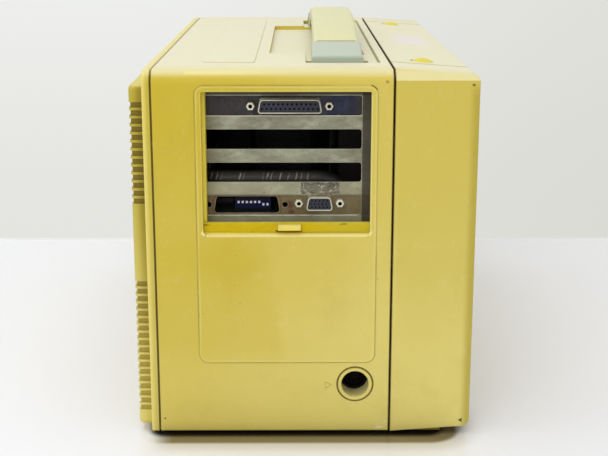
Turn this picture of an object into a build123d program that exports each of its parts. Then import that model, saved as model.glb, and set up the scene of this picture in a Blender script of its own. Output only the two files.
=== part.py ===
from build123d import *
import math
import os

# A luggable computer that stands on its long side.
#
# Millimetres. X runs along the length, with the port end at -X and the disk
# drive end at +X. Y runs from the front (-Y, the keyboard that closes the
# screen) to the rear (+Y, the vent block). Z is up, and the origin is the
# middle of the footprint at table height.

# ---- overall sizes --------------------------------------------------------
CASE_LENGTH = 390.0          # end face to end face
CASING_DEPTH = 143.0         # main casing sleeve, seam to seam
CASING_HEIGHT = 226.0        # sleeve, bottom to top
KEYBOARD_DEPTH = 50.3        # keyboard unit that closes the front
PANEL_DEPTH = 5.0            # rear panel
VENT_DEPTH = 8.3             # rear vent block, standing off the panel
FOOT_HEIGHT = 2.0

# ---- main planes; places along Y are given from the front seam -------------
X_END = CASE_LENGTH / 2
TOTAL_DEPTH = KEYBOARD_DEPTH + CASING_DEPTH + PANEL_DEPTH + VENT_DEPTH
Y_FRONT = -TOTAL_DEPTH / 2
Y_SEAM = Y_FRONT + KEYBOARD_DEPTH
Y_REAR_SEAM = Y_SEAM + CASING_DEPTH
Y_PANEL = Y_REAR_SEAM + PANEL_DEPTH
Y_REAR = Y_PANEL + VENT_DEPTH
Z_BASE = FOOT_HEIGHT
Z_TOP = Z_BASE + CASING_HEIGHT

# ---- walls and clearances -------------------------------------------------
WALL = 3.0                   # moulded shells
SHEET = 1.2                  # chassis steel
BOARD = 1.6                  # circuit boards
SEAM_GAP = 0.8               # dark line between the keyboard and the casing
FIT_GAP = 0.3                # between a moulded part and its opening
SLIDE_GAP = 0.4              # each side of a part that slides
RUNNING_GAP = 0.05           # round pin in its hole
SCREW_R = 1.5
SCREW_HEAD_R = 2.8
SCREW_HEAD = 1.6
REAR_HEAD_DEPTH = 3.0        # rear screw heads below the vent block's face
FOOT_R = 9.0
FOOT_STEM_R = 2.5
FOOT_INSET = (34.0, 20.0)    # feet in from the sleeve's edges

# ---- main casing ----------------------------------------------------------
TOP_EDGE_R = 8.0             # long top edges over the end faces
BOTTOM_EDGE_R = 1.2
RIM_EDGE = 0.6               # broken edge round both open ends
FLANGE_WIDTH = 10.0          # inward flange that the base plate screws to
BOSS = 10.0                  # square corner bosses for the rear screws
SCREW_INSET = 2.0            # keeps their heads clear of the ribs round the ends
BOSS_LENGTH = 20.0

# ---- port window in the -X end and its sliding door -----------------------
WINDOW_Y = (Y_SEAM + 13.1, Y_SEAM + 113.4)
WINDOW_Z = (130.0, 215.5)
WINDOW_CORNER_R = 1.0
SILL_BEVEL = 2.6             # rounded lower edge of the window
RELIEF_SIDE = 3.8            # raised field outside the window, each side
RELIEF_TOP = 3.7
RELIEF_BOTTOM = 47.7         # height of the raised field's lower edge
RELIEF_R = 5.5
RELIEF_RISE = 0.4
DOOR_THICKNESS = 2.0
DOOR_OVERLAP = 4.0           # door edge beyond the window, each side
DOOR_SHOWING = 6.0           # strip of the open door above the sill
DOOR_TRAVEL = 80.0
TAB_Y = (Y_SEAM + 54.7, Y_SEAM + 68.5)
TAB_HEIGHT = 3.4
TAB_BELOW_TOP = 1.0
TAB_REACH = 3.6              # the finger tab stands out of the door
GUIDE_STRIP = 2.0
GUIDE_LEDGE = 1.9            # guide's wall shows inside the window's rear edge

# ---- expansion slots ------------------------------------------------------
SLOT_PLANE = 14.0            # depth of the steel slot frame behind the face
SLOT_COUNT = 4
SLOT_PITCH = 20.32
SLOT_TOP_Z = 205.3           # middle of the highest slot
SLOT_HEIGHT = 12.0
SLOT_Y = (Y_SEAM + 18.0, Y_SEAM + 116.5)
SLOT_CORNER_R = 1.6
FRAME_FLANGE = 15.0
BRACKET_WIDTH = 18.4
BRACKET_SHEET = 0.9
BRACKET_Y = (Y_SEAM + 14.0, Y_SEAM + 121.0)
TAB_SCREW_SETBACK = 8.0      # bracket screws behind the slot frame
CARD_DROP = 6.4              # board's middle plane below the slot's middle
CARD_Y = (Y_SEAM + 29.0, Y_REAR_SEAM - 11.0)
CARD_LENGTH = 94.0
SOCKET_LENGTH = 76.0
SOCKET_DEPTH = 11.0
SOCKET_HEIGHT = 9.0
SOCKET_GRIP = 7.0            # how far a card's edge goes into its socket

# ---- connectors -----------------------------------------------------------
PARALLEL_Y = Y_SEAM + 61.25  # middle of the 25-way connector
PARALLEL_SPACING = 47.04
PARALLEL_SHELL = (38.6, 8.4)
VIDEO_Y = Y_SEAM + 43.4      # middle of the 15-way connector
VIDEO_SPACING = 24.99
VIDEO_SHELL = (16.4, 8.4)
VIDEO_RISE = 1.5             # its middle above the slot's middle
SHELL_REACH = 5.8            # shell in front of the bracket
SHELL_RIM = 0.6
CONNECTOR_BODY = 9.0
STUD_R = 1.6                 # threaded ends of the jackscrews
JACKSCREW_R = 2.6
JACKSCREW_HOLE_R = 1.4
JACKSCREW_REACH = 4.6
BLANK_Y = Y_SEAM + 87.6      # unused D opening over the option switches
BLANK_SIZE = (40.0, 10.0)
BLANK_HOLE_SPACING = 46.6
BLANK_HOLE_R = 1.7
SWITCH_Y = Y_SEAM + 84.1
SWITCH_SIZE = (7.0, 22.0, 10.0)
SWITCH_PITCH = 2.54
SWITCH_DEPTH = 8.0           # switch face behind the slot frame
SLIDER = (1.3, 1.3)
SLIDER_THROW = 1.5

# ---- keyboard socket ------------------------------------------------------
SOCKET_Y = Y_SEAM + 21.2
SOCKET_Z = 33.4
SHROUD_R = 11.0
SHROUD_BORE_R = 8.5
SHROUD_DEPTH = 13.5
DIN_BODY = 8.0
DIN_R = 8.3

# ---- carry handle ---------------------------------------------------------
HANDLE_HALF = 155.5
HANDLE_Y = Y_SEAM + 32.0
HANDLE_WIDTH = 32.0
HANDLE_RISE = 21.0           # crown above the casing
HANDLE_END_RISE = 3.0
HANDLE_THICKNESS = 8.5
CAP_LENGTH = 34.0
GRIP_STEP = 1.2              # grip is narrower than the caps, each side
HANDLE_TRAVEL = 18.0
CHANNEL_DEPTH = 1.2
CHANNEL_Y = (Y_SEAM + 6.3, Y_SEAM + 51.5)
CHANNEL_END_GAP = 0.6
RECESS_HALF = 102.0
RECESS_Y = (Y_SEAM + 13.0, Y_SEAM + 75.0)
RECESS_DEPTH = 3.0
POCKET_LENGTH = 19.0
POCKET_SIDE = 3.5            # pocket beyond the handle, each side
LEG_SHEET = 3.0
LEG_WIDTH = 24.0
LEG_INSET = 10.0             # leg's middle in from the handle's end
STOP_HEIGHT = 1.5
STOP_LENGTH = 9.0
GUIDE_SHEET = 1.5
LID_RELIEF_Y = (Y_SEAM + 83.0, Y_SEAM + 115.0)
LID_RELIEF_RISE = 0.4

# ---- rear vent block ------------------------------------------------------
VENT_INSET = 4.0             # block in from the end faces
VENT_Z = (4.5, 219.3)
VENT_CORNER_R = 4.0
VENT_EDGE_R = 2.5            # rounding of the block's rear edges
RIDGE_COUNT = 13
RIDGE_PITCH = 4.85
RIDGE_FIRST_Z = 147.4
SLOT_ROWS = 18
ROW_PITCH = 4.75
ROW_FIRST_Z = 14.8
GROOVE_HEIGHT = 3.3
RIDGE_DEPTH = 1.0            # how far the upper ridges stand out to the rear
ROW_DEPTH = 1.5              # the same for the lower ribs
SIDE_DEPTH = 1.6             # and for both, round the block's ends
SUPPLY_VENT_X = (40.0, 150.0)  # air slots behind the power supply

# ---- chassis and modules --------------------------------------------------
FLOOR_Y = (Y_SEAM + 9.0, Y_REAR_SEAM - 4.0)
FLOOR_X = (-182.0, 188.0)
SHELF_Z = 72.0
SHELF_Y0 = Y_SEAM + 34.0
PARTITION_X = 8.0
MAIN_BOARD_X = (-160.0, 4.0)
MAIN_BOARD_STANDOFF = 3.0
MAIN_BOARD_NOTCH = (-79.0, Y_REAR_SEAM - 29.0)
RISER_Y = Y_REAR_SEAM - 7.0
RISER_X = (-174.0, -82.0)
FAN_SIZE = 80.0
FAN_DEPTH = 25.0
FAN_X = -34.0
FAN_Z = 54.0
FAN_BORE_R = 37.5
FAN_SHAFT_R = 2.0
FAN_TIP_GAP = 1.0
FAN_HUB_R = 16.0
FAN_BLADES = 7
SUPPLY_LENGTH = 170.0
SUPPLY_HEIGHT = 62.0
SUPPLY_SHEET = 1.0
FLOPPY_SIZE = (198.0, 41.0, 146.0)
FLOPPY_Y = Y_SEAM + 67.0
FLOPPY_RECESS = 6.0
DRIVE_BEZEL = 4.0
LEVER_SHAFT_R = 3.0
LEVER_ARM = (4.0, 8.0, 21.0)  # thickness, width and length
DISK_SLOT = (136.0, 4.8, 137.0)
HARD_DRIVE_SIZE = (146.0, 41.0, 102.0)
HARD_DRIVE_Y = Y_SEAM + 113.0
BEZEL_SETBACK = 3.0          # screen bezel behind the sleeve's front rim
SCREEN_X = 58.0
SCREEN_Z = 122.0
SCREEN_SIZE = (216.0, 137.0)
GLASS_MARGIN = 3.0
GLASS = 2.0
DISPLAY_MARGIN = 12.0
DISPLAY_DEPTH = 20.0
SPEAKER_X = -130.0
SPEAKER_Z = 62.0
SPEAKER_R = 25.0
SPEAKER_DEPTH = 14.0
KNOB_X = (-150.0, -116.0)
KNOB_Z = 118.0
KNOB_R = 7.0
KNOB_SHAFT_R = 3.0
KNOB_RISE = 2.2
INLET_Y = Y_SEAM + 105.0
INLET_Z = 40.0
INLET_SIZE = (27.0, 20.0)
INLET_DEPTH = 12.8
INLET_WALL = 2.2
PRONG_LENGTH = 7.0
ROCKER_Y = Y_SEAM + 67.0
ROCKER_SIZE = (24.0, 12.0)
ROCKER_THROW = 8.0           # degrees each side of level
ROCKER_CLEAR = 0.8
ROCKER_SETBACK = 7.5         # its pin behind the end face
ROCKER_PIN_R = 1.2
LOOM_R = 5.0
LOOM_X = -166.0
LOOM_Z = 158.0
LOOM_Y = (Y_SEAM + 22.0, Y_SEAM + 117.0)
LOOM_FOOT_Z = 22.0
LOOM_BENDS = (15.0, 22.0, 12.0)

# ---- keyboard unit --------------------------------------------------------
TOP_FALL = 3.5               # top slopes down to the front by this much
BOTTOM_RISE = 3.5
END_CHAMFER = (8.0, 6.0)     # along X and down the end face
REST_REACH = 32.5            # level rest under the rising bottom, from the seam
REST_INSET = 1.5             # rest in from the end faces
FRONT_CORNER_R = 3.0
FRONT_FOOT_R = 5.0
TOP_GROOVE_X = 151.0
TOP_GROOVE = (1.0, 0.8)
BUTTON_X = 135.0
BUTTON_Y = Y_SEAM - 21.7
BUTTON_R = 7.0
BUTTON_RISE = 2.0
BUTTON_TRAVEL = 2.0
LATCH_DROP = 22.0
LATCH_BAR = 12.0
DECK_SETBACK = 8.0           # deck's face behind the open rim
DECK = 2.0
KEY_PITCH = 19.05
KEY_GAP = 1.2
KEY_HEIGHT = 7.5
KEY_TAPER = 2.2
KEY_SETBACK = 2.5            # key tops behind the open rim
KEY_TRAVEL = 3.5
KEY_STEM = 5.0
KEY_ROW_Z = 68.0             # middle of the space bar's row
KEY_BLOCK_X = -187.0 + 3.0
PAD_GAP = 6.0
FUNCTION_GAP = 9.0
SWITCH_PLATE = 6.0
TILT_FOOT = (56.0, 4.6, 36.0)
TILT_FOOT_X = 120.0
TILT_FOOT_Z = 208.0
TILT_PIN_R = 1.5
TONGUE = (20.0, 6.5, 3.0)
TONGUE_X = 120.0
TONGUE_HEIGHT = 4.0          # above the sleeve's floor
KEYBOARD_BACK = 6.0          # depth of the panel that closes the unit's outer face
# key widths in each row from the space bar's row up, in units of the pitch
MAIN_ROWS = (
    (2.0, 1.5, 1.5, 2.5),                    # beside the space bar
    (2.25,) + (1.0,) * 10 + (2.75,),
    (1.75,) + (1.0,) * 11 + (2.25,),
    (1.5,) + (1.0,) * 12 + (1.5,),
    (1.0,) * 13 + (2.0,),
)
MAIN_UNITS = 15.0
SPACE_UNITS = 7.5
SPACE_AFTER = 2              # keys to the left of the space bar
PAD_UNITS = 4
FUNCTION_KEYS = 12
PLATE_MARGIN = 10.0

# ---- places that follow from the sizes above ------------------------------
Z_FLOOR = Z_BASE + WALL
X_IN = X_END - WALL
Z_IN = Z_TOP - WALL
SLOT_X = -X_END + SLOT_PLANE
BRACKET_X = SLOT_X + 1.0
BEZEL_Y = Y_SEAM + BEZEL_SETBACK
BEZEL_BACK = BEZEL_Y + WALL
DOOR_X = -X_IN + FIT_GAP
DOOR_TOP = WINDOW_Z[0] + DOOR_SHOWING
DOOR_BOTTOM = WINDOW_Z[0] - DOOR_TRAVEL - DOOR_OVERLAP
FLOOR_TOP = Z_FLOOR + SHEET
SHELF_TOP = SHELF_Z + SHEET
MAIN_BOARD_Z = FLOOR_TOP + MAIN_BOARD_STANDOFF
MAIN_BOARD_TOP = MAIN_BOARD_Z + BOARD
KEY_TOP_Y = Y_SEAM - SEAM_GAP - KEY_SETBACK
KEY_BASE_Y = KEY_TOP_Y - KEY_HEIGHT
SWITCH_PLATE_Y = KEY_BASE_Y - KEY_TRAVEL - 1.0
TAB_SCREW_X = SLOT_X + TAB_SCREW_SETBACK
ROCKER_AXIS_X = X_END - ROCKER_SETBACK
TONGUE_Z = Z_FLOOR + TONGUE_HEIGHT
KEYBOARD_SPLIT_Y = Y_FRONT + KEYBOARD_BACK


# ---- drawing helpers ------------------------------------------------------
def block(x0, x1, y0, y1, z0, z1):
    middle = Pos((x0 + x1) / 2, (y0 + y1) / 2, (z0 + z1) / 2)
    return middle * Box(x1 - x0, y1 - y0, z1 - z0)


def sheet_x(outline, x0, x1):
    """Extrude an outline drawn in (Y, Z) from x0 to x1."""
    plane = Plane(origin=(x0, 0, 0), x_dir=(0, 1, 0), z_dir=(1, 0, 0))
    return extrude(plane * outline, x1 - x0, dir=(1, 0, 0))


def sheet_y(outline, y0, y1):
    """Extrude an outline drawn in (X, Z) from y0 to y1."""
    plane = Plane(origin=(0, y1, 0), x_dir=(1, 0, 0), z_dir=(0, -1, 0))
    return extrude(plane * outline, y1 - y0, dir=(0, -1, 0))


def sheet_z(outline, z0, z1):
    return extrude(Plane.XY.offset(z0) * outline, z1 - z0, dir=(0, 0, 1))


def rounded(a0, a1, b0, b1, radius):
    return Pos((a0 + a1) / 2, (b0 + b1) / 2) * RectangleRounded(a1 - a0, b1 - b0, radius)


def rod_x(y, z, radius, x0, x1):
    return sheet_x(Pos(y, z) * Circle(radius), x0, x1)


def rod_y(x, z, radius, y0, y1):
    return sheet_y(Pos(x, z) * Circle(radius), y0, y1)


def rod_z(x, y, radius, z0, z1):
    return sheet_z(Pos(x, y) * Circle(radius), z0, z1)


def span(a, b):
    return (min(a, b), max(a, b))


def side_block(side, x0, x1, y0, y1, z0, z1):
    low, high = span(side * x0, side * x1)
    return block(low, high, y0, y1, z0, z1)


# ---- main casing ----------------------------------------------------------
def casing_outline():
    """Cross-section of the sleeve in (X, Z)."""
    outline = Pos(0, (Z_BASE + Z_TOP) / 2) * Rectangle(CASE_LENGTH, CASING_HEIGHT)
    corners = outline.vertices().group_by(Axis.Y)
    outline = fillet(corners[-1], TOP_EDGE_R)
    low = outline.vertices().group_by(Axis.Y)[0]
    return fillet(low, BOTTOM_EDGE_R)


def rear_screw_places():
    inset = WALL + BOSS / 2 + SCREW_INSET
    xs = (-X_END + inset, X_END - inset)
    zs = (Z_FLOOR + 4.0 + BOSS, VENT_Z[1] - BOSS / 2)
    return [(x, z) for x in xs for z in zs]


def base_screw_places():
    xs = (-X_IN + FLANGE_WIDTH / 2, X_IN - FLANGE_WIDTH / 2)
    first = Y_SEAM + 14.0
    last = Y_REAR_SEAM - 14.0
    ys = [first + (last - first) * k / 3 for k in range(4)]
    return [(x, y) for x in xs for y in ys]


def pocket_span():
    outer = HANDLE_HALF + CHANNEL_END_GAP
    return (outer - POCKET_LENGTH, outer)


def main_casing():
    shell = sheet_y(casing_outline(), Y_SEAM, Y_REAR_SEAM)
    rims = shell.faces().filter_by(Axis.Y).edges()
    shell = chamfer(rims, RIM_EDGE)
    cavity = block(-X_IN, X_IN, Y_SEAM - 1, Y_REAR_SEAM + 1, Z_BASE - 1, Z_IN)
    inner_r = TOP_EDGE_R - WALL
    cavity = fillet(cavity.edges().filter_by(Axis.Y).group_by(Axis.Z)[-1], inner_r)
    shell -= cavity
    # flanges that the base plate closes against
    for side in (-1, 1):
        shell += side_block(side, X_IN - FLANGE_WIDTH, X_IN, BEZEL_BACK + FIT_GAP,
                            Y_REAR_SEAM, Z_FLOOR, Z_FLOOR + WALL)
    for x, y in base_screw_places():
        shell -= rod_z(x, y, SCREW_R + RUNNING_GAP, Z_FLOOR - 1, Z_FLOOR + WALL + 1)
    # corner bosses for the screws through the rear panel
    for x, z in rear_screw_places():
        low, high = span(x - math.copysign(BOSS / 2 - SCREW_INSET, x), math.copysign(X_IN, x))
        top = Z_IN if z > CASING_HEIGHT / 2 else z + BOSS / 2
        shell += block(low, high, Y_REAR_SEAM - BOSS_LENGTH, Y_REAR_SEAM, z - BOSS / 2, top)
    for x, z in rear_screw_places():
        shell -= rod_y(x, z, SCREW_R + RUNNING_GAP, Y_REAR_SEAM - BOSS_LENGTH - 1, Y_REAR_SEAM + 1)
    shell = cut_top(shell)
    shell = cut_port_end(shell)
    return cut_drive_end(shell)


def cut_top(shell):
    """Handle channel, leg pockets, finger recess and the low field behind them."""
    end = HANDLE_HALF + CHANNEL_END_GAP
    pad = WALL
    shell += block(-RECESS_HALF - pad, RECESS_HALF + pad, RECESS_Y[0] - pad,
                   RECESS_Y[1] + pad, Z_IN - RECESS_DEPTH, Z_IN)
    shell -= sheet_z(rounded(-end, end, *CHANNEL_Y, 1.0), Z_TOP - CHANNEL_DEPTH, Z_TOP + 1)
    shell -= sheet_z(rounded(-RECESS_HALF, RECESS_HALF, *RECESS_Y, 1.5),
                     Z_TOP - RECESS_DEPTH, Z_TOP + 1)
    near, far = pocket_span()
    half = HANDLE_WIDTH / 2 + POCKET_SIDE
    for side in (-1, 1):
        shell -= side_block(side, near, far, HANDLE_Y - half, HANDLE_Y + half, Z_IN - 1, Z_TOP + 1)
    field = sheet_z(rounded(-end, end, *LID_RELIEF_Y, 3.0), Z_TOP - 1, Z_TOP + LID_RELIEF_RISE)
    return shell + field


def cut_port_end(shell):
    """Raised field, port window, its sloped sill and the keyboard socket's hole."""
    field = rounded(WINDOW_Y[0] - RELIEF_SIDE, WINDOW_Y[1] + RELIEF_SIDE,
                    RELIEF_BOTTOM, WINDOW_Z[1] + RELIEF_TOP, RELIEF_R)
    shell += sheet_x(field, -X_END - RELIEF_RISE, -X_END + 1)
    window = rounded(*WINDOW_Y, *WINDOW_Z, WINDOW_CORNER_R)
    shell -= sheet_x(window, -X_END - 1, -X_IN + 1)
    sill = Polygon((-X_END - RELIEF_RISE - 0.01, WINDOW_Z[0] - SILL_BEVEL),
                   (-X_IN + 0.01, WINDOW_Z[0] + 0.01),
                   (-X_END - RELIEF_RISE - 0.01, WINDOW_Z[0] + 0.01), align=None)
    shell -= sheet_y(sill, WINDOW_Y[0] + 1.0, WINDOW_Y[1] - 1.0)
    return shell - rod_x(SOCKET_Y, SOCKET_Z, SHROUD_R + FIT_GAP, -X_END - 1, -X_IN + 1)


def cut_drive_end(shell):
    """Openings for the disk drive's bezel, the power inlet and the rocker."""
    _, width, height = FLOPPY_SIZE
    opening = rounded(FLOPPY_Y - width / 2 - FIT_GAP, FLOPPY_Y + width / 2 + FIT_GAP,
                      SHELF_TOP - FIT_GAP, SHELF_TOP + height + FIT_GAP, 1.0)
    shell -= sheet_x(opening, X_IN - 1, X_END + 1)
    shell -= inlet_block(FIT_GAP, X_IN - 1, X_END + 1)
    return shell - rocker_housing_block(FIT_GAP, X_IN - 1, X_END + 1)


def base_plate():
    edge = X_IN - FIT_GAP
    plate = block(-edge, edge, Y_SEAM + RIM_EDGE, Y_REAR_SEAM, Z_BASE, Z_FLOOR)
    for x, y in base_screw_places():
        plate -= rod_z(x, y, SCREW_R + RUNNING_GAP, Z_BASE - 1, Z_FLOOR + 1)
        plate -= rod_z(x, y, SCREW_HEAD_R + RUNNING_GAP, Z_BASE - 1, Z_BASE + SCREW_HEAD)
    for x, y in foot_places():
        plate -= rod_z(x, y, FOOT_STEM_R + RUNNING_GAP, Z_BASE - 1, Z_FLOOR + 1)
    return plate


def foot_places():
    xs = (-X_END + FOOT_INSET[0], X_END - FOOT_INSET[0])
    ys = (Y_SEAM + FOOT_INSET[1], Y_REAR_SEAM - FOOT_INSET[1])
    return [(x, y) for x in xs for y in ys]


def rubber_feet():
    feet = []
    for x, y in foot_places():
        pad = rod_z(x, y, FOOT_R, 0.0, FOOT_HEIGHT)
        feet.append(pad + rod_z(x, y, FOOT_STEM_R, 0.0, Z_FLOOR))
    return feet


def casing_screws():
    """Eight screws up through the base plate and four through the rear panel."""
    screws = []
    for x, y in base_screw_places():
        shank = rod_z(x, y, SCREW_R, Z_BASE, Z_FLOOR + WALL)
        screws.append(shank + rod_z(x, y, SCREW_HEAD_R, Z_BASE, Z_BASE + SCREW_HEAD))
    for x, z in rear_screw_places():
        shank = rod_y(x, z, SCREW_R, Y_REAR_SEAM - BOSS_LENGTH + 4, Y_REAR)
        head = rod_y(x, z, SCREW_HEAD_R, Y_REAR - REAR_HEAD_DEPTH - SCREW_HEAD, Y_REAR - REAR_HEAD_DEPTH)
        cut = rod_y(x, z, SCREW_R + 1, Y_REAR - REAR_HEAD_DEPTH, Y_REAR + 1)
        screws.append(shank + head - cut)
    return screws


# ---- rear panel and vent block --------------------------------------------
def rear_panel():
    panel = sheet_y(casing_outline(), Y_REAR_SEAM, Y_PANEL)
    panel = chamfer(panel.faces().filter_by(Axis.Y).edges(), RIM_EDGE)
    panel -= rod_y(FAN_X, FAN_Z, FAN_BORE_R, Y_REAR_SEAM - 1, Y_PANEL + 1)
    for x, z in rear_screw_places():
        panel -= rod_y(x, z, SCREW_R + RUNNING_GAP, Y_REAR_SEAM - 1, Y_PANEL + 1)
    # air slots behind the supply and below the upper ridges
    for row in range(0, SLOT_ROWS, 2):
        z = ROW_FIRST_Z + row * ROW_PITCH
        if z + GROOVE_HEIGHT < SHELF_Z:
            panel -= block(*SUPPLY_VENT_X, Y_REAR_SEAM - 1, Y_PANEL + 1, z, z + GROOVE_HEIGHT)
    return panel


def groove_heights():
    """Lower edge of each groove across the vent block, from the bottom up."""
    low = [ROW_FIRST_Z + k * ROW_PITCH for k in range(SLOT_ROWS)]
    high = [RIDGE_FIRST_Z + k * RIDGE_PITCH for k in range(RIDGE_COUNT)]
    return low, high


def rear_vent_block():
    half = X_END - VENT_INSET
    body = sheet_y(rounded(-half, half, *VENT_Z, VENT_CORNER_R), Y_PANEL, Y_REAR)
    body = fillet(body.faces().filter_by(Axis.Y).sort_by(Axis.Y)[-1].edges(), VENT_EDGE_R)
    low, high = groove_heights()
    for z in low + high:
        depth = ROW_DEPTH if z in low else RIDGE_DEPTH
        body -= block(-half - 1, half + 1, Y_REAR - depth, Y_REAR + 1, z, z + GROOVE_HEIGHT)
        for side in (-1, 1):
            body -= side_block(side, half - SIDE_DEPTH, half + 1, Y_PANEL - 1, Y_REAR + 1, z, z + GROOVE_HEIGHT)
    fan_half = FAN_BORE_R - 3.0
    for z in low:
        body -= block(FAN_X - fan_half, FAN_X + fan_half, Y_PANEL - 1, Y_REAR + 1, z, z + GROOVE_HEIGHT)
        if z + GROOVE_HEIGHT < SHELF_Z:
            body -= block(*SUPPLY_VENT_X, Y_PANEL - 1, Y_REAR + 1, z, z + GROOVE_HEIGHT)
    for x, z in rear_screw_places():
        body -= rod_y(x, z, SCREW_R + RUNNING_GAP, Y_PANEL - 1, Y_REAR + 1)
        body -= rod_y(x, z, SCREW_HEAD_R + RUNNING_GAP, Y_REAR - REAR_HEAD_DEPTH - SCREW_HEAD, Y_REAR + 1)
    return body


# ---- carry handle ---------------------------------------------------------
def arch(half, low, high):
    """Three points of an arch in (X, Z), measured above the casing's top."""
    return ThreePointArc((-half, Z_TOP + low), (0, Z_TOP + high), (half, Z_TOP + low))


def handle_solid():
    """Whole handle: a low arch, flat underneath at both ends."""
    crown = arch(HANDLE_HALF, HANDLE_END_RISE, HANDLE_RISE)
    foot = Z_TOP - CHANNEL_DEPTH + FIT_GAP
    ends = [(HANDLE_HALF, Z_TOP + HANDLE_END_RISE), (HANDLE_HALF, foot),
            (-HANDLE_HALF, foot), (-HANDLE_HALF, Z_TOP + HANDLE_END_RISE)]
    outline = make_face(Curve() + [crown, Polyline(*ends)])
    half = HANDLE_WIDTH / 2
    solid = sheet_y(outline, HANDLE_Y - half, HANDLE_Y + half)
    inner = HANDLE_HALF - CAP_LENGTH
    under = arch(inner, -3.0, HANDLE_RISE - HANDLE_THICKNESS)
    gap = make_face(Curve() + [under, Line((inner, Z_TOP - 3.0), (-inner, Z_TOP - 3.0))])
    return solid - sheet_y(gap, HANDLE_Y - half - 1, HANDLE_Y + half + 1)


def cap_zone(side, extra=0.0):
    return side_block(side, HANDLE_HALF - CAP_LENGTH + extra, HANDLE_HALF + 1,
                      HANDLE_Y - HANDLE_WIDTH, HANDLE_Y + HANDLE_WIDTH,
                      Z_IN, Z_TOP + HANDLE_RISE + 5)


def handle_grip():
    half = HANDLE_WIDTH / 2 - GRIP_STEP
    grip = handle_solid() & block(-HANDLE_HALF, HANDLE_HALF, HANDLE_Y - half, HANDLE_Y + half,
                                  Z_IN, Z_TOP + HANDLE_RISE + 5)
    for side in (-1, 1):
        grip -= cap_zone(side)
    return grip


def leg_plate(side, extra=0.0):
    """Steel plate let into the underside of a cap."""
    foot = Z_TOP - CHANNEL_DEPTH + FIT_GAP
    return side_block(side, HANDLE_HALF - CAP_LENGTH + 6 - extra, HANDLE_HALF - 3 + extra,
                      HANDLE_Y - LEG_WIDTH / 2 - extra, HANDLE_Y + LEG_WIDTH / 2 + extra,
                      foot, foot + 1.5 + extra)


def handle_end_caps():
    caps = []
    for side in (-1, 1):
        cap = handle_solid() & cap_zone(side)
        caps.append(cap - leg_plate(side, RUNNING_GAP))
    return caps


def leg_x():
    return HANDLE_HALF - LEG_INSET


def handle_legs():
    """A plate, a leg through the top wall and a stop foot at each end."""
    legs = []
    top = Z_TOP - CHANNEL_DEPTH + FIT_GAP
    stop_top = Z_IN - GUIDE_SHEET - HANDLE_TRAVEL
    for side in (-1, 1):
        leg = leg_plate(side)
        leg += side_block(side, leg_x() - LEG_SHEET / 2, leg_x() + LEG_SHEET / 2,
                          HANDLE_Y - LEG_WIDTH / 2, HANDLE_Y + LEG_WIDTH / 2,
                          stop_top - STOP_HEIGHT, top)
        leg += side_block(side, leg_x() - STOP_LENGTH / 2, leg_x() + STOP_LENGTH / 2,
                          HANDLE_Y - LEG_WIDTH / 2, HANDLE_Y + LEG_WIDTH / 2,
                          stop_top - STOP_HEIGHT, stop_top)
        legs.append(leg)
    return legs


def handle_guides():
    """Steel plates under the pockets, each with a close slot for its leg."""
    guides = []
    near, far = pocket_span()
    half = HANDLE_WIDTH / 2 + POCKET_SIDE + 4.0
    front = max(HANDLE_Y - half, BEZEL_BACK + FIT_GAP)
    slot_half = LEG_SHEET / 2 + SLIDE_GAP
    for side in (-1, 1):
        plate = side_block(side, near - 4, far + 4, front, HANDLE_Y + half,
                           Z_IN - GUIDE_SHEET, Z_IN)
        plate -= side_block(side, leg_x() - slot_half, leg_x() + slot_half,
                            HANDLE_Y - LEG_WIDTH / 2 - SLIDE_GAP,
                            HANDLE_Y + LEG_WIDTH / 2 + SLIDE_GAP, Z_IN - 5, Z_IN + 1)
        guides.append(plate)
    return guides


# ---- sliding port door ----------------------------------------------------
def port_door():
    y0 = WINDOW_Y[0] - DOOR_OVERLAP
    y1 = WINDOW_Y[1] + DOOR_OVERLAP
    door = block(DOOR_X, DOOR_X + DOOR_THICKNESS, y0, y1, DOOR_BOTTOM, DOOR_TOP)
    top = DOOR_TOP - TAB_BELOW_TOP
    tab = block(DOOR_X - TAB_REACH, DOOR_X, *TAB_Y, top - TAB_HEIGHT, top)
    tab = chamfer(tab.faces().sort_by(Axis.X)[0].edges(), 0.5)
    return door + tab


def door_guide_frame():
    """Channels down both sides of the window, joined over the top."""
    back = DOOR_X + DOOR_THICKNESS + FIT_GAP
    z0 = DOOR_BOTTOM - 2.0
    z1 = DOOR_TOP + DOOR_TRAVEL + 1.0
    plate_end = SLOT_X - FIT_GAP
    pieces = []
    for side, low, sign in ((WINDOW_Y[0], WINDOW_Y[0] - 0.5, -1), (WINDOW_Y[1], WINDOW_Y[1] - GUIDE_LEDGE, 1)):
        outer = side + sign * (DOOR_OVERLAP + FIT_GAP)
        edge = outer + sign * GUIDE_STRIP
        strips = [(-X_IN, back, outer, edge), (back, back + GUIDE_STRIP, low, edge),
                  (back + GUIDE_STRIP, plate_end, low, low + sign * GUIDE_STRIP)]
        for x0, x1, ya, yb in strips:
            ys = span(ya, yb)
            pieces.append(block(x0, x1, *ys, z0, z1 + GUIDE_STRIP))
    outer_y = (WINDOW_Y[0] - DOOR_OVERLAP - FIT_GAP, WINDOW_Y[1] + DOOR_OVERLAP + FIT_GAP)
    pieces.append(block(-X_IN, back + GUIDE_STRIP, *outer_y, z1, z1 + GUIDE_STRIP))
    frame = pieces[0]
    for piece in pieces[1:]:
        frame += piece
    return frame


# ---- expansion slots and cards --------------------------------------------
def slot_heights():
    return [SLOT_TOP_Z - k * SLOT_PITCH for k in range(SLOT_COUNT)]


def card_plane(slot):
    """Middle plane of the board whose bracket closes the slot."""
    return slot_heights()[slot] - CARD_DROP


def frame_span():
    """Front and rear edges of the steel end plates in Y."""
    return (BRACKET_Y[0] - BRACKET_SHEET - 0.6, RISER_Y + 2.0)


def frame_joint_z():
    """Height where the slot frame stands on the socket plate."""
    return slot_heights()[-1] - BRACKET_WIDTH / 2 - 3.0


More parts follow.
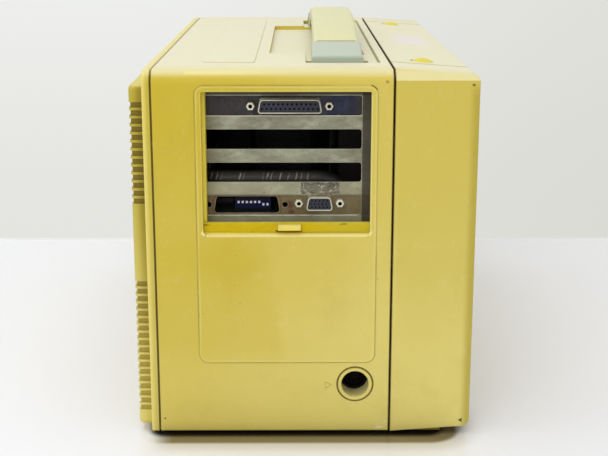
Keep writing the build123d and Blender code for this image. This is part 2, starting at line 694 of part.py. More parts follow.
def slot_frame():
    """Steel end plate with the card slots and its turned-in edges."""
    y0, y1 = frame_span()
    top = Z_IN - 4.0
    plate = block(SLOT_X, BRACKET_X, y0, y1, frame_joint_z(), top)
    for z in slot_heights():
        slot = rounded(*SLOT_Y, z - SLOT_HEIGHT / 2, z + SLOT_HEIGHT / 2, SLOT_CORNER_R)
        plate -= sheet_x(slot, SLOT_X - 1, BRACKET_X + 1)
    side = block(SLOT_X, SLOT_X + FRAME_FLANGE, y0 - 1.0, y0, frame_joint_z(), top)
    for slot in (0, SLOT_COUNT - 1):
        side -= rod_y(TAB_SCREW_X, slot_heights()[slot], SCREW_R + RUNNING_GAP, y0 - 2, y0 + 1)
    lid = block(SLOT_X, SLOT_X + FRAME_FLANGE, y0, y1, top - 1.0, top)
    return plate + side + lid


def socket_plate():
    """Steel plate under the slot frame, with the keyboard socket's hole."""
    y0, y1 = frame_span()
    plate = block(SLOT_X, BRACKET_X, y0, y1, FLOOR_TOP, frame_joint_z())
    plate -= rod_x(SOCKET_Y, SOCKET_Z, DIN_R + FIT_GAP, SLOT_X - 1, BRACKET_X + 1)
    return plate + block(SLOT_X, SLOT_X + FRAME_FLANGE, y0, y1, FLOOR_TOP, FLOOR_TOP + 1.0)


def d_outline(y, z, width, height):
    """The D shape of a connector shell, narrower at the top."""
    slant = height * math.tan(math.radians(10))
    half = width / 2
    points = [(y - half, z - height / 2), (y + half, z - height / 2),
              (y + half - slant, z + height / 2), (y - half + slant, z + height / 2)]
    outline = Polygon(*points, align=None)
    return fillet(outline.vertices(), height * 0.18)


def bracket(slot):
    """Card bracket with its screw tab turned inward."""
    z = slot_heights()[slot]
    half = BRACKET_WIDTH / 2
    plate = block(BRACKET_X, BRACKET_X + BRACKET_SHEET, *BRACKET_Y, z - half, z + half)
    tab = block(BRACKET_X, BRACKET_X + 12.0, BRACKET_Y[0] - BRACKET_SHEET + 0.3,
                BRACKET_Y[0] + 0.3, z - half, z + half)
    tab -= rod_y(TAB_SCREW_X, z, SCREW_R + RUNNING_GAP, BRACKET_Y[0] - 2, BRACKET_Y[0] + 2)
    ear_z = card_plane(slot) + BOARD / 2
    ear = block(BRACKET_X, BRACKET_X + 10.0, BRACKET_Y[1] - 11.0, BRACKET_Y[1] - 3.0, ear_z, ear_z + 1.0)
    return plate + tab + ear


def drill_connector(plate, y, z, spacing, shell, hole_r):
    x0 = BRACKET_X - 1
    x1 = BRACKET_X + BRACKET_SHEET + 1
    plate -= sheet_x(d_outline(y, z, shell[0] + 0.4, shell[1] + 0.4), x0, x1)
    for side in (-1, 1):
        plate -= rod_x(y + side * spacing / 2, z, hole_r, x0, x1)
    return plate


def parallel_bracket():
    z = slot_heights()[0]
    return drill_connector(bracket(0), PARALLEL_Y, z, PARALLEL_SPACING, PARALLEL_SHELL, STUD_R)


def video_bracket():
    z = slot_heights()[SLOT_COUNT - 1]
    plate = drill_connector(bracket(SLOT_COUNT - 1), VIDEO_Y, z + VIDEO_RISE, VIDEO_SPACING, VIDEO_SHELL, STUD_R)
    return drill_connector(plate, BLANK_Y, z, BLANK_HOLE_SPACING, BLANK_SIZE, BLANK_HOLE_R)


def d_connector(slot, y, spacing, shell, rise=0.0):
    """Metal shell, flange behind the bracket, insert with its body."""
    z = slot_heights()[slot] + rise
    front = BRACKET_X - SHELL_REACH
    back = BRACKET_X + BRACKET_SHEET
    metal = sheet_x(d_outline(y, z, *shell), front, back + 2.0)
    hollow = (shell[0] - 2 * SHELL_RIM, shell[1] - 2 * SHELL_RIM)
    metal += block(back, back + 1.0, y - spacing / 2 - 3.5, y + spacing / 2 + 3.5, z - 5.5, z + 5.5)
    metal -= sheet_x(d_outline(y, z, *hollow), front - 1, back + 3.0)
    for side in (-1, 1):
        metal -= rod_x(y + side * spacing / 2, z, STUD_R, back - 1, back + 2.0)
    insert = sheet_x(d_outline(y, z, hollow[0] - 0.1, hollow[1] - 0.1), front + 0.5, back + 2.0)
    floor = card_plane(slot) + BOARD / 2
    insert += block(back + 2.0, back + 2.0 + CONNECTOR_BODY, y - shell[0] / 2 - 1, y + shell[0] / 2 + 1,
                    floor, z + 5.0)
    return [metal, insert]


def parallel_connector():
    return d_connector(0, PARALLEL_Y, PARALLEL_SPACING, PARALLEL_SHELL)


def video_connector():
    return d_connector(SLOT_COUNT - 1, VIDEO_Y, VIDEO_SPACING, VIDEO_SHELL, VIDEO_RISE)


def card_screws():
    """Hexagon jackscrews beside both connectors, and the tab screws."""
    screws = []
    back = BRACKET_X + BRACKET_SHEET + 1.0
    rows = ((0, PARALLEL_Y, PARALLEL_SPACING, 0.0), (SLOT_COUNT - 1, VIDEO_Y, VIDEO_SPACING, VIDEO_RISE))
    for slot, y, spacing, rise in rows:
        z = slot_heights()[slot] + rise
        for side in (-1, 1):
            at = y + side * spacing / 2
            hexagon = Pos(at, z) * RegularPolygon(JACKSCREW_R, 6)
            nut = sheet_x(hexagon, BRACKET_X - JACKSCREW_REACH, BRACKET_X)
            nut += rod_x(at, z, STUD_R - RUNNING_GAP, BRACKET_X - 1, back + 3.0)
            screws.append(nut - rod_x(at, z, JACKSCREW_HOLE_R, BRACKET_X - JACKSCREW_REACH - 1,
                                      BRACKET_X - 0.5))
        y_tab = BRACKET_Y[0] + 0.3
        z -= rise
        screw = rod_y(TAB_SCREW_X, z, SCREW_R, y_tab - 5.0, y_tab)
        screws.append(screw + rod_y(TAB_SCREW_X, z, SCREW_HEAD_R, y_tab, y_tab + SCREW_HEAD))
    return screws


def card_board(slot):
    z = card_plane(slot)
    x0 = BRACKET_X + BRACKET_SHEET + FIT_GAP
    board = block(x0, x0 + CARD_LENGTH, CARD_Y[0], CARD_Y[1] - SOCKET_GRIP, z - BOARD / 2, z + BOARD / 2)
    x_edge = socket_x()
    edge = block(x_edge[0] + 3, x_edge[1] - 3, CARD_Y[1] - SOCKET_GRIP, CARD_Y[1],
                 z - BOARD / 2, z + BOARD / 2)
    return board + edge


def card_boards():
    return [card_board(0), card_board(SLOT_COUNT - 1)]


def chip(x, y, z, length, width, height):
    return block(x, x + length, y, y + width, z, z + height)


def card_chips():
    """Three rows on each card; the lower card also has a large controller."""
    chips = []
    x0 = BRACKET_X + 30.0
    for slot in (0, SLOT_COUNT - 1):
        top = card_plane(slot) + BOARD / 2
        for row in range(3):
            for column in range(3):
                chips.append(chip(x0 + 22.0 * column, CARD_Y[0] + 8.0 + 20.0 * row, top, 18.0, 8.0, 3.6))
    top = card_plane(SLOT_COUNT - 1) + BOARD / 2
    chips.append(chip(x0, CARD_Y[0] + 68.0, top, 24.0, 24.0, 3.0))
    return chips


def switch_face():
    return SLOT_X + SWITCH_DEPTH


def dip_switch_block():
    """Upright option switch with one slot for each slider."""
    length, width, height = SWITCH_SIZE
    x = switch_face()
    base = card_plane(SLOT_COUNT - 1) + BOARD / 2
    body = block(x, x + length, SWITCH_Y - width / 2, SWITCH_Y + width / 2, base, base + height)
    reach = SLIDER[1] / 2 + SLIDER_THROW / 2 + 0.4
    middle = base + height / 2
    for y in slider_places():
        body -= block(x - 1, x + 1.2, y - SLIDER[0] / 2 - 0.2, y + SLIDER[0] / 2 + 0.2,
                      middle - reach, middle + reach)
    return body


def slider_places():
    return [SWITCH_Y + SWITCH_PITCH * (3.5 - k) for k in range(8)]


def sliders(places, up):
    base = card_plane(SLOT_COUNT - 1) + BOARD / 2
    z = base + SWITCH_SIZE[2] / 2 + up * SLIDER_THROW / 2
    x = switch_face()
    return [block(x - 0.8, x + 1.0, y - SLIDER[0] / 2, y + SLIDER[0] / 2,
                  z - SLIDER[1] / 2, z + SLIDER[1] / 2) for y in places]


def dip_sliders_up():
    return sliders(slider_places()[:6], 1)


def dip_sliders_down():
    return sliders(slider_places()[6:], -1)


def socket_x():
    start = RISER_X[0] + 8.0
    return (start, start + SOCKET_LENGTH)


def riser_board():
    """Upright board behind the cards, with one socket for each slot."""
    top = slot_heights()[0] + 8.0
    riser = block(*RISER_X, RISER_Y, RISER_Y + BOARD, MAIN_BOARD_TOP, top)
    solids = [riser]
    x0, x1 = socket_x()
    for slot in range(SLOT_COUNT):
        z = card_plane(slot)
        body = block(x0, x1, RISER_Y - SOCKET_DEPTH, RISER_Y, z - SOCKET_HEIGHT / 2, z + SOCKET_HEIGHT / 2)
        mouth = RISER_Y - SOCKET_DEPTH
        body -= block(x0 + 2, x1 - 2, mouth - 1, mouth + SOCKET_GRIP + 1,
                      z - BOARD / 2 - 0.15, z + BOARD / 2 + 0.15)
        solids.append(body)
    return solids


# ---- main board and chassis -----------------------------------------------
def main_board():
    y0 = FLOOR_Y[0]
    y1 = RISER_Y + BOARD
    board = block(*MAIN_BOARD_X, y0, y1, MAIN_BOARD_Z, MAIN_BOARD_TOP)
    board -= block(MAIN_BOARD_NOTCH[0], MAIN_BOARD_X[1] + 1, MAIN_BOARD_NOTCH[1], y1 + 1,
                   MAIN_BOARD_Z - 1, MAIN_BOARD_TOP + 1)
    return board


def main_board_chips():
    """Two square processors, two long sockets and a block of memory."""
    top = MAIN_BOARD_TOP
    y0 = FLOOR_Y[0] + 14.0
    x0 = MAIN_BOARD_X[0] + 10.0
    chips = [chip(x0 + 110.0, y0 + y, top, 30.0, 30.0, 4.0) for y in (0.0, 40.0)]
    chips += [chip(x0 + 55.0, y0 + y, top, 50.0, 15.0, 4.5) for y in (10.0, 35.0)]
    for row in range(2):
        for column in range(3):
            chips.append(chip(x0 + 15.0 * column, y0 + 30.0 + 26.0 * row, top, 8.0, 20.0, 3.6))
    return chips


def board_chips():
    return card_chips() + main_board_chips()


def standoff_places():
    xs = (MAIN_BOARD_X[0] + 6.0, MAIN_BOARD_NOTCH[0] - 8.0)
    ys = (FLOOR_Y[0] + 6.0, RISER_Y - 6.0)
    places = [(x, y) for x in xs for y in ys]
    places.append((MAIN_BOARD_X[1] - 6.0, FLOOR_Y[0] + 6.0))
    places.append((MAIN_BOARD_X[1] - 6.0, MAIN_BOARD_NOTCH[1] - 6.0))
    return places


def chassis_frame():
    """Floor, partition, front web and drive shelf in one folded sheet."""
    frame = block(*FLOOR_X, *FLOOR_Y, Z_FLOOR, FLOOR_TOP)
    frame = frame - floor_corners()
    frame += block(PARTITION_X, PARTITION_X + SHEET, SHELF_Y0, FLOOR_Y[1], Z_FLOOR, SHELF_TOP)
    frame += block(PARTITION_X, flange_edge(), SHELF_Y0, SHELF_Y0 + SHEET, Z_FLOOR, SHELF_TOP)
    frame += block(PARTITION_X, FLOOR_X[1], SHELF_Y0, FLOOR_Y[1], SHELF_Z, SHELF_TOP)
    for x, y in standoff_places():
        frame += rod_z(x, y, 3.0, FLOOR_TOP, MAIN_BOARD_Z)
    for x, y in foot_places():
        frame -= rod_z(x, y, FOOT_STEM_R + 0.5, Z_FLOOR - 1, FLOOR_TOP + 0.01)
    return frame


def flange_edge():
    return X_IN - FLANGE_WIDTH - 1.0


def floor_corners():
    """Clear the casing's screw flanges."""
    inner = flange_edge()
    strips = side_block(-1, inner, X_END, FLOOR_Y[0] - 1, FLOOR_Y[1] + 1, Z_FLOOR - 1, FLOOR_TOP + 1)
    strips += side_block(1, inner, X_END, FLOOR_Y[0] - 1, FLOOR_Y[1] + 1, Z_FLOOR - 1, FLOOR_TOP + 1)
    return strips


def power_supply():
    """Sheet-metal box of six plates round the supply's larger components."""
    x0 = PARTITION_X + SHEET + FIT_GAP
    y0 = SHELF_Y0 + SHEET + FIT_GAP
    x1 = x0 + SUPPLY_LENGTH
    y1 = FLOOR_Y[1] - 2.0
    top = FLOOR_TOP + SUPPLY_HEIGHT
    low = FLOOR_TOP + SUPPLY_SHEET
    high = top - SUPPLY_SHEET
    xa, xb = x0 + SUPPLY_SHEET, x1 - SUPPLY_SHEET
    ya, yb = y0 + SUPPLY_SHEET, y1 - SUPPLY_SHEET
    plates = [block(x0, x1, y0, y1, FLOOR_TOP, low), block(x0, x1, y0, y1, high, top),
              block(x0, xa, y0, y1, low, high), block(xb, x1, y0, y1, low, high),
              block(xa, xb, y0, ya, low, high), block(xa, xb, yb, y1, low, high)]
    board = block(x0 + 6.0, x1 - 6.0, y0 + 6.0, y1 - 6.0, low, low + BOARD)
    low += BOARD
    transformer = block(x0 + 60.0, x0 + 100.0, y0 + 30.0, y0 + 70.0, low, low + 36.0)
    cans = [rod_z(x0 + 125.0, y0 + y, 12.0, low, low + 40.0) for y in (25.0, 55.0)]
    sink = block(x0 + 20.0, x0 + 24.0, y0 + 12.0, y1 - 12.0, low, low + 45.0)
    return plates + [board, transformer, sink] + cans


def supply_end():
    return PARTITION_X + SHEET + FIT_GAP + SUPPLY_LENGTH


def inlet_block(extra, x0, x1):
    half_y = INLET_SIZE[0] / 2 + extra
    half_z = INLET_SIZE[1] / 2 + extra
    return block(x0, x1, INLET_Y - half_y, INLET_Y + half_y, INLET_Z - half_z, INLET_Z + half_z)


def rocker_housing_block(extra, x0, x1):
    half_y = ROCKER_SIZE[0] / 2 + 2.5 + extra
    half_z = ROCKER_SIZE[1] / 2 + 2.0 + extra
    return block(x0, x1, ROCKER_Y - half_y, ROCKER_Y + half_y, INLET_Z - half_z, INLET_Z + half_z)


def power_inlet():
    """Three-pin inlet and the rocker's housing, both fixed to the supply."""
    start = supply_end()
    inlet = inlet_block(0.0, start, X_END - 0.8)
    floor_x = X_END - INLET_DEPTH
    inlet -= inlet_block(-INLET_WALL, floor_x, X_END)
    for y, z in ((-7.0, -2.0), (0.0, 3.0), (7.0, -2.0)):
        inlet += block(floor_x - 1.0, floor_x + PRONG_LENGTH, INLET_Y + y - 2.0, INLET_Y + y + 2.0,
                       INLET_Z + z - 1.0, INLET_Z + z + 1.0)
    housing = rocker_housing_block(0.0, start, X_END - 0.8)
    half_y = ROCKER_SIZE[0] / 2 + ROCKER_CLEAR
    half_z = ROCKER_SIZE[1] / 2 + SLIDE_GAP
    housing -= block(start + 2.0, X_END, ROCKER_Y - half_y, ROCKER_Y + half_y,
                     INLET_Z - half_z, INLET_Z + half_z)
    hole_z = ROCKER_SIZE[1] / 2 + 1.5
    housing -= rod_z(ROCKER_AXIS_X, ROCKER_Y, ROCKER_PIN_R + RUNNING_GAP, INLET_Z - hole_z, INLET_Z + hole_z)
    return [inlet, housing]


def power_rocker():
    """Rocker with two sloped faces, resting with its front half pressed in."""
    half = ROCKER_SIZE[0] / 2
    throw = math.tan(math.radians(ROCKER_THROW))
    mid_x = X_END - 4.1
    outline = [(mid_x, ROCKER_Y), (mid_x + throw * half * 0.7, ROCKER_Y + half),
               (ROCKER_AXIS_X - 1.5, ROCKER_Y + half - 2.0), (ROCKER_AXIS_X - 1.5, ROCKER_Y - half + 2.0),
               (mid_x + throw * half * 0.7, ROCKER_Y - half)]
    body = sheet_z(Polygon(*outline, align=None), INLET_Z - ROCKER_SIZE[1] / 2, INLET_Z + ROCKER_SIZE[1] / 2)
    pin_z = ROCKER_SIZE[1] / 2 + 1.2
    body += rod_z(ROCKER_AXIS_X, ROCKER_Y, ROCKER_PIN_R, INLET_Z - pin_z, INLET_Z + pin_z)
    tilt = Rot(0, 0, ROCKER_THROW)
    at = Pos(ROCKER_AXIS_X, ROCKER_Y, 0)
    return at * tilt * at.inverse() * body


# ---- fan ------------------------------------------------------------------
def fan_y():
    return (Y_REAR_SEAM - FAN_DEPTH, Y_REAR_SEAM)


def fan_frame():
    """Square frame with a motor cup held by four struts at the rear."""
    y0, y1 = fan_y()
    half = FAN_SIZE / 2
    frame = sheet_y(rounded(FAN_X - half, FAN_X + half, FAN_Z - half, FAN_Z + half, 5.0), y0, y1)
    frame -= rod_y(FAN_X, FAN_Z, FAN_BORE_R, y0 - 1, y1 + 1)
    for angle in (45, 135):
        bar = block(-FAN_BORE_R - 1, FAN_BORE_R + 1, y1 - 3.0, y1, -2.0, 2.0)
        frame += Pos(FAN_X, 0, FAN_Z) * Rot(0, angle, 0) * bar
    frame += rod_y(FAN_X, FAN_Z, FAN_HUB_R, y1 - 4.0, y1)
    frame -= rod_y(FAN_X, FAN_Z, FAN_SHAFT_R + RUNNING_GAP, y1 - 5.0, y1 - 1.0)
    for x in (-half + 5, half - 5):
        for z in (-half + 5, half - 5):
            frame -= rod_y(FAN_X + x, FAN_Z + z, 2.1, y0 - 1, y1 + 1)
    return frame


def fan_rotor():
    y0, y1 = fan_y()
    hub_back = y1 - 5.0
    hub = rod_y(FAN_X, FAN_Z, FAN_HUB_R, y0 + 2.0, hub_back)
    hub += rod_y(FAN_X, FAN_Z, FAN_SHAFT_R, hub_back - 1, y1 - 1.5)
    reach = FAN_BORE_R - FAN_TIP_GAP
    for k in range(FAN_BLADES):
        blade = block(FAN_HUB_R - 1.0, reach, -8.0, 8.0, -0.8, 0.8)
        blade = Rot(35, 0, 0) * blade
        turn = Rot(0, 360.0 * k / FAN_BLADES, 0)
        hub += Pos(FAN_X, (y0 + 2.0 + hub_back) / 2, FAN_Z) * turn * blade
    ring = rod_y(FAN_X, FAN_Z, reach, y0 + 1.0, hub_back)
    return hub & (ring + rod_y(FAN_X, FAN_Z, FAN_SHAFT_R, hub_back - 1, y1 - 1.5))


# ---- disk drives ----------------------------------------------------------
def floppy_y():
    return (FLOPPY_Y - FLOPPY_SIZE[1] / 2, FLOPPY_Y + FLOPPY_SIZE[1] / 2)


def floppy_face():
    return X_END - FLOPPY_RECESS


def disk_slot_y():
    return FLOPPY_Y - 4.0


def floppy_drive():
    """Drive mechanism on edge, with the space that the disk slides into."""
    length, _, height = FLOPPY_SIZE
    x1 = floppy_face() - DRIVE_BEZEL
    y0, y1 = floppy_y()
    body = block(X_END - length, x1, y0 + 0.5, y1 - 0.5, SHELF_TOP, SHELF_TOP + height)
    depth, gap, tall = DISK_SLOT
    mid = SHELF_TOP + height / 2
    y = disk_slot_y()
    body -= block(x1 - depth, x1 + 1, y - gap / 2, y + gap / 2, mid - tall / 2, mid + tall / 2)
    body -= rod_x(lever_y(), mid, LEVER_SHAFT_R + RUNNING_GAP, x1 - 8.0, x1 + 1)
    return body


def lever_y():
    return FLOPPY_Y + 9.0


def floppy_bezel():
    height = FLOPPY_SIZE[2]
    y0, y1 = floppy_y()
    face = floppy_face()
    bezel = block(face - DRIVE_BEZEL, face, y0, y1, SHELF_TOP, SHELF_TOP + height)
    _, gap, tall = DISK_SLOT
    mid = SHELF_TOP + height / 2
    y = disk_slot_y()
    bezel -= block(face - DRIVE_BEZEL - 1, face + 1, y - gap / 2, y + gap / 2, mid - tall / 2, mid + tall / 2)
    return bezel - rod_x(lever_y(), mid, LEVER_SHAFT_R + RUNNING_GAP, face - DRIVE_BEZEL - 1, face + 1)


def floppy_lever():
    """Turns a quarter to lock the disk; rests along the slot, unlocked."""
    mid = SHELF_TOP + FLOPPY_SIZE[2] / 2
    face = floppy_face()
    thick, wide, long = LEVER_ARM
    start = face + 0.8
    half = wide / 2
    outline = rounded(lever_y() - half, lever_y() + half, mid - half, mid + long, half - 0.2)
    arm = sheet_x(outline, start, start + thick)
    shaft = rod_x(lever_y(), mid, LEVER_SHAFT_R, face - DRIVE_BEZEL - 6.0, start + 1)
    return arm + shaft


def hard_drive():
    length, width, height = HARD_DRIVE_SIZE
    x0 = PARTITION_X + 2.0
    return block(x0, x0 + length, HARD_DRIVE_Y - width / 2, HARD_DRIVE_Y + width / 2,
                 SHELF_TOP, SHELF_TOP + height)


# ---- wiring loom ----------------------------------------------------------
def wiring_loom():
    """Round loom from the hard drive, past the slots, down to the main board."""
    drive_end = PARTITION_X + 2.0
    board_end = LOOM_X + 16.0
    front, rear = LOOM_Y
    points = [(drive_end - 12.0, rear, LOOM_Z), (LOOM_X, rear, LOOM_Z), (LOOM_X, front, LOOM_Z),
              (LOOM_X, front, LOOM_FOOT_Z), (board_end, front, LOOM_FOOT_Z)]
    path = FilletPolyline(*points, radius=list(LOOM_BENDS))
    plane = Plane(origin=points[0], z_dir=(-1, 0, 0))
    tube = sweep(plane * Circle(LOOM_R), path=path)
    drive_plug = block(drive_end - 12.0, drive_end, rear - 9.0, rear + 9.0, LOOM_Z - 7.0, LOOM_Z + 7.0)
    board_plug = block(board_end, board_end + 12.0, front - 9.0, front + 9.0,
                       MAIN_BOARD_TOP, LOOM_FOOT_Z + 7.0)
    return [tube, drive_plug, board_plug]


# ---- keyboard socket ------------------------------------------------------
def socket_shroud():
    front = -X_END - RELIEF_RISE / 2
    tube = rod_x(SOCKET_Y, SOCKET_Z, SHROUD_R, front, front + SHROUD_DEPTH)
    return tube - rod_x(SOCKET_Y, SOCKET_Z, SHROUD_BORE_R, front - 1, front + SHROUD_DEPTH + 1)


def keyboard_socket():
    """Round five-pin socket at the bottom of the shroud."""
    start = -X_END - RELIEF_RISE / 2 + SHROUD_DEPTH
    body = rod_x(SOCKET_Y, SOCKET_Z, DIN_R, start, start + DIN_BODY)
    body -= rod_x(SOCKET_Y, SOCKET_Z, DIN_R - 1.6, start - 1, start + 3.0)
    for k in range(5):
        angle = math.radians(180 * k / 4)
        y = SOCKET_Y + 4.2 * math.cos(angle)
        z = SOCKET_Z - 4.2 * math.sin(angle)
        body -= rod_x(y, z, 0.8, start + 2.0, start + DIN_BODY - 1)
    return body


# ---- screen side ----------------------------------------------------------
def screen_outline(margin, radius=2.0):
    half_x = SCREEN_SIZE[0] / 2 + margin
    half_z = SCREEN_SIZE[1] / 2 + margin
    return rounded(SCREEN_X - half_x, SCREEN_X + half_x, SCREEN_Z - half_z, SCREEN_Z + half_z, radius)


def front_bezel():
    """Panel across the sleeve's front, with the screen window and the controls."""
    edge = X_IN - FIT_GAP
    outline = rounded(-edge, edge, Z_FLOOR + FIT_GAP, Z_IN - FIT_GAP, TOP_EDGE_R - WALL + 0.5)
    panel = sheet_y(outline, BEZEL_Y, BEZEL_BACK)
    panel -= sheet_y(screen_outline(0.0), BEZEL_Y - 1, BEZEL_BACK + 1)
    for row in range(-4, 5):
        z = SPEAKER_Z + row * 5.0
        half = math.sqrt((SPEAKER_R - 3.0) ** 2 - (row * 5.0) ** 2)
        panel -= block(SPEAKER_X - half, SPEAKER_X + half, BEZEL_Y - 1, BEZEL_BACK + 1, z - 1.0, z + 1.0)
    for x in KNOB_X:
        panel -= rod_y(x, KNOB_Z, KNOB_SHAFT_R + RUNNING_GAP, BEZEL_Y - 1, BEZEL_BACK + 1)
    for side in (-1, 1):
        width, _, height = TONGUE
        centre = side * TONGUE_X
        panel -= block(centre - width / 2 - SLIDE_GAP, centre + width / 2 + SLIDE_GAP,
                       BEZEL_Y - 1, BEZEL_BACK + 1, TONGUE_Z - SLIDE_GAP, TONGUE_Z + height + SLIDE_GAP)
    # posts that carry the screen module
    for x, z in screen_post_places():
        panel += rod_y(x, z, 4.0, BEZEL_Y + 1, display_y()[0])
    return panel


def display_y():
    start = BEZEL_BACK + GLASS
    return (start, start + DISPLAY_DEPTH)


def screen_post_places():
    half_x = SCREEN_SIZE[0] / 2 + GLASS_MARGIN + 4.5
    half_z = SCREEN_SIZE[1] / 2 + GLASS_MARGIN + 4.5
    return [(SCREEN_X + sx * half_x, SCREEN_Z + sz * half_z) for sx in (-1, 1) for sz in (-1, 1)]


def display_glass():
    return sheet_y(screen_outline(GLASS_MARGIN), BEZEL_BACK, BEZEL_BACK + GLASS)


def display_panel():
    return sheet_y(screen_outline(DISPLAY_MARGIN), *display_y())


def speaker():
    basket = rod_y(SPEAKER_X, SPEAKER_Z, SPEAKER_R, BEZEL_BACK, BEZEL_BACK + 4.0)
    return basket + rod_y(SPEAKER_X, SPEAKER_Z, SPEAKER_R * 0.55, BEZEL_BACK, BEZEL_BACK + SPEAKER_DEPTH)


def control_board():
    """Board behind the bezel with a round control for each knob."""
    middle = sum(KNOB_X) / 2
    y0 = BEZEL_BACK + 8.0
    board = block(middle - 28.0, middle + 28.0, y0, y0 + BOARD, KNOB_Z - 10.0, KNOB_Z + 10.0)
    for x in KNOB_X:
        board += rod_y(x, KNOB_Z, 8.0, BEZEL_BACK, y0)
        board -= rod_y(x, KNOB_Z, KNOB_SHAFT_R + RUNNING_GAP, BEZEL_BACK - 1, BEZEL_BACK + 6.0)
    return board


def knob(x):
    """Low ribbed knob on its shaft."""
    front = BEZEL_Y - KNOB_RISE
    body = rod_y(x, KNOB_Z, KNOB_R, front, BEZEL_Y - FIT_GAP)
    for k in range(12):
        angle = math.radians(30 * k)
        rib_x = x + KNOB_R * math.cos(angle)
        body -= rod_y(rib_x, KNOB_Z + KNOB_R * math.sin(angle), 0.8, front - 1, BEZEL_Y)
    return body + rod_y(x, KNOB_Z, KNOB_SHAFT_R, BEZEL_Y - 1, BEZEL_BACK + 5.0)


def brightness_knob():
    return knob(KNOB_X[0])


def contrast_knob():
    return knob(KNOB_X[1])


def latch_strikes():
    """Steel lugs on the bezel that the keyboard's latch bars face."""
    strikes = []
    z = button_top_z() - LATCH_DROP
    for side in (-1, 1):
        x = side * BUTTON_X
        strikes.append(block(x - 7.0, x + 7.0, BEZEL_Y - 7.0, BEZEL_Y, z - 1.5, z + 1.5))
    return strikes


# ---- keyboard unit --------------------------------------------------------
def rim_y():
    return Y_SEAM - SEAM_GAP


def keyboard_body(inset=0.0):
    """Solid of the keyboard unit, or its hollow when inset by the wall."""
    open_y = rim_y() + (5.0 if inset else 0.0)
    y0 = Y_FRONT + inset
    low = Z_BASE + inset
    high = Z_TOP - inset
    profile = Polygon((open_y, low), (y0, low + BOTTOM_RISE), (y0, high - TOP_FALL), (open_y, high),
                      align=None)
    front = profile.vertices().group_by(Axis.X)[0].sort_by(Axis.Y)
    profile = fillet(front[0], FRONT_FOOT_R)
    front = profile.vertices().sort_by(Axis.Y)[-2:]
    corner = front.sort_by(Axis.X)[0]
    profile = fillet(corner, FRONT_CORNER_R)
    half = X_END - inset
    body = sheet_x(profile, -half, half)
    run, drop = END_CHAMFER
    over = Z_TOP + 5.0
    end = Polygon((-half, Z_BASE - 1), (half, Z_BASE - 1), (half, high - drop), (half - run, high),
                  (half - run, over), (-half + run, over), (-half + run, high), (-half, high - drop),
                  align=None)
    return body & sheet_y(end, Y_FRONT - 1, open_y + 1)


def button_top_z():
    share = (Y_SEAM - BUTTON_Y) / KEYBOARD_DEPTH
    return Z_TOP - TOP_FALL * share


def tilt_pocket(side, extra):
    width, thick, height = TILT_FOOT
    x = side * TILT_FOOT_X
    return block(x - width / 2 - extra, x + width / 2 + extra, Y_FRONT - 1, Y_FRONT + thick + 1.0 + extra,
                 TILT_FOOT_Z - height - extra, TILT_FOOT_Z + extra)


def tilt_axis():
    """Hinge pin's place in (Y, Z)."""
    return (Y_FRONT + TILT_FOOT[1] / 2 + 0.8, TILT_FOOT_Z - TILT_FOOT[1] / 2 - 0.4)


def keyboard_slice(y0, y1):
    """Walls of the unit between two depths, grooved across the top."""
    walls = keyboard_body() - keyboard_body(WALL)
    walls &= block(-X_END - 1, X_END + 1, y0, y1, Z_BASE - 1, Z_TOP + 1)
    groove, depth = TOP_GROOVE
    for side in (-1, 1):
        walls -= sheet_x(groove_profile(depth), *span(side * TOP_GROOVE_X, side * (TOP_GROOVE_X + groove)))
    return walls


def keyboard_shell():
    """Four walls with the holes for the latch buttons and the rest underneath."""
    shell = keyboard_slice(KEYBOARD_SPLIT_Y, rim_y() + 1)
    edge = X_END - REST_INSET
    shell += block(-edge, edge, Y_SEAM - REST_REACH, rim_y(), Z_BASE, Z_BASE + WALL) - keyboard_body()
    for side in (-1, 1):
        shell -= rod_z(side * BUTTON_X, BUTTON_Y, BUTTON_R + SLIDE_GAP, Z_TOP - 12, Z_TOP + 1)
    return shell


def keyboard_back():
    """Outer panel with the pockets for the flip-out feet."""
    panel = keyboard_slice(Y_FRONT - 1, KEYBOARD_SPLIT_Y)
    for side in (-1, 1):
        panel += tilt_pocket(side, WALL) & keyboard_body()
        panel -= tilt_pocket(side, 0.4)
        y, z = tilt_axis()
        x = side * TILT_FOOT_X
        half = TILT_FOOT[0] / 2 + 2.4
        panel -= rod_x(y, z, TILT_PIN_R + RUNNING_GAP, x - half, x + half)
    return panel


def keyboard_fixings():
    """Pillars for the deck and the switch plate, and two tongues at the bottom."""
    inner = Y_FRONT + WALL
    fixings = [rod_y(x, z, 4.0, inner, deck_y()[0]) for x, z in deck_post_places()]
    fixings += [rod_y(x, z, 4.0, inner, SWITCH_PLATE_Y - SWITCH_PLATE) for x, z in plate_post_places()]
    width, reach, height = TONGUE
    for side in (-1, 1):
        x0 = side * TONGUE_X - width / 2
        foot = block(x0, x0 + width, rim_y() - 6, rim_y() - 2, Z_BASE, TONGUE_Z)
        strip = block(x0, x0 + width, rim_y() - 6, BEZEL_Y + reach - WALL, TONGUE_Z, TONGUE_Z + height)
        fixings.append((foot & keyboard_body(WALL)) + strip)
    return fixings


def groove_profile(depth):
    """Band just under the sloped top, in (Y, Z)."""
    y0 = Y_FRONT - 1.0
    y1 = rim_y() + 1.0
    slope = TOP_FALL / KEYBOARD_DEPTH
    top0 = Z_TOP - TOP_FALL - slope - depth
    top1 = Z_TOP - depth
    return Polygon((y0, top0), (y1, top1), (y1, top1 + 5), (y0, top0 + 8), align=None)


def deck_y():
    face = rim_y() - DECK_SETBACK
    return (face - DECK, face)


def deck_post_places():
    return [(sx * (X_IN - 9.0), z) for sx in (-1, 1) for z in (Z_BASE + 22.0, Z_TOP - 26.0)]


def plate_post_places():
    x0, x1, z0, z1 = switch_plate_area()
    return [(x, z) for x in (x0 + 6.0, 0.0, x1 - 6.0) for z in (z0 + 5.0, z1 - 5.0)]


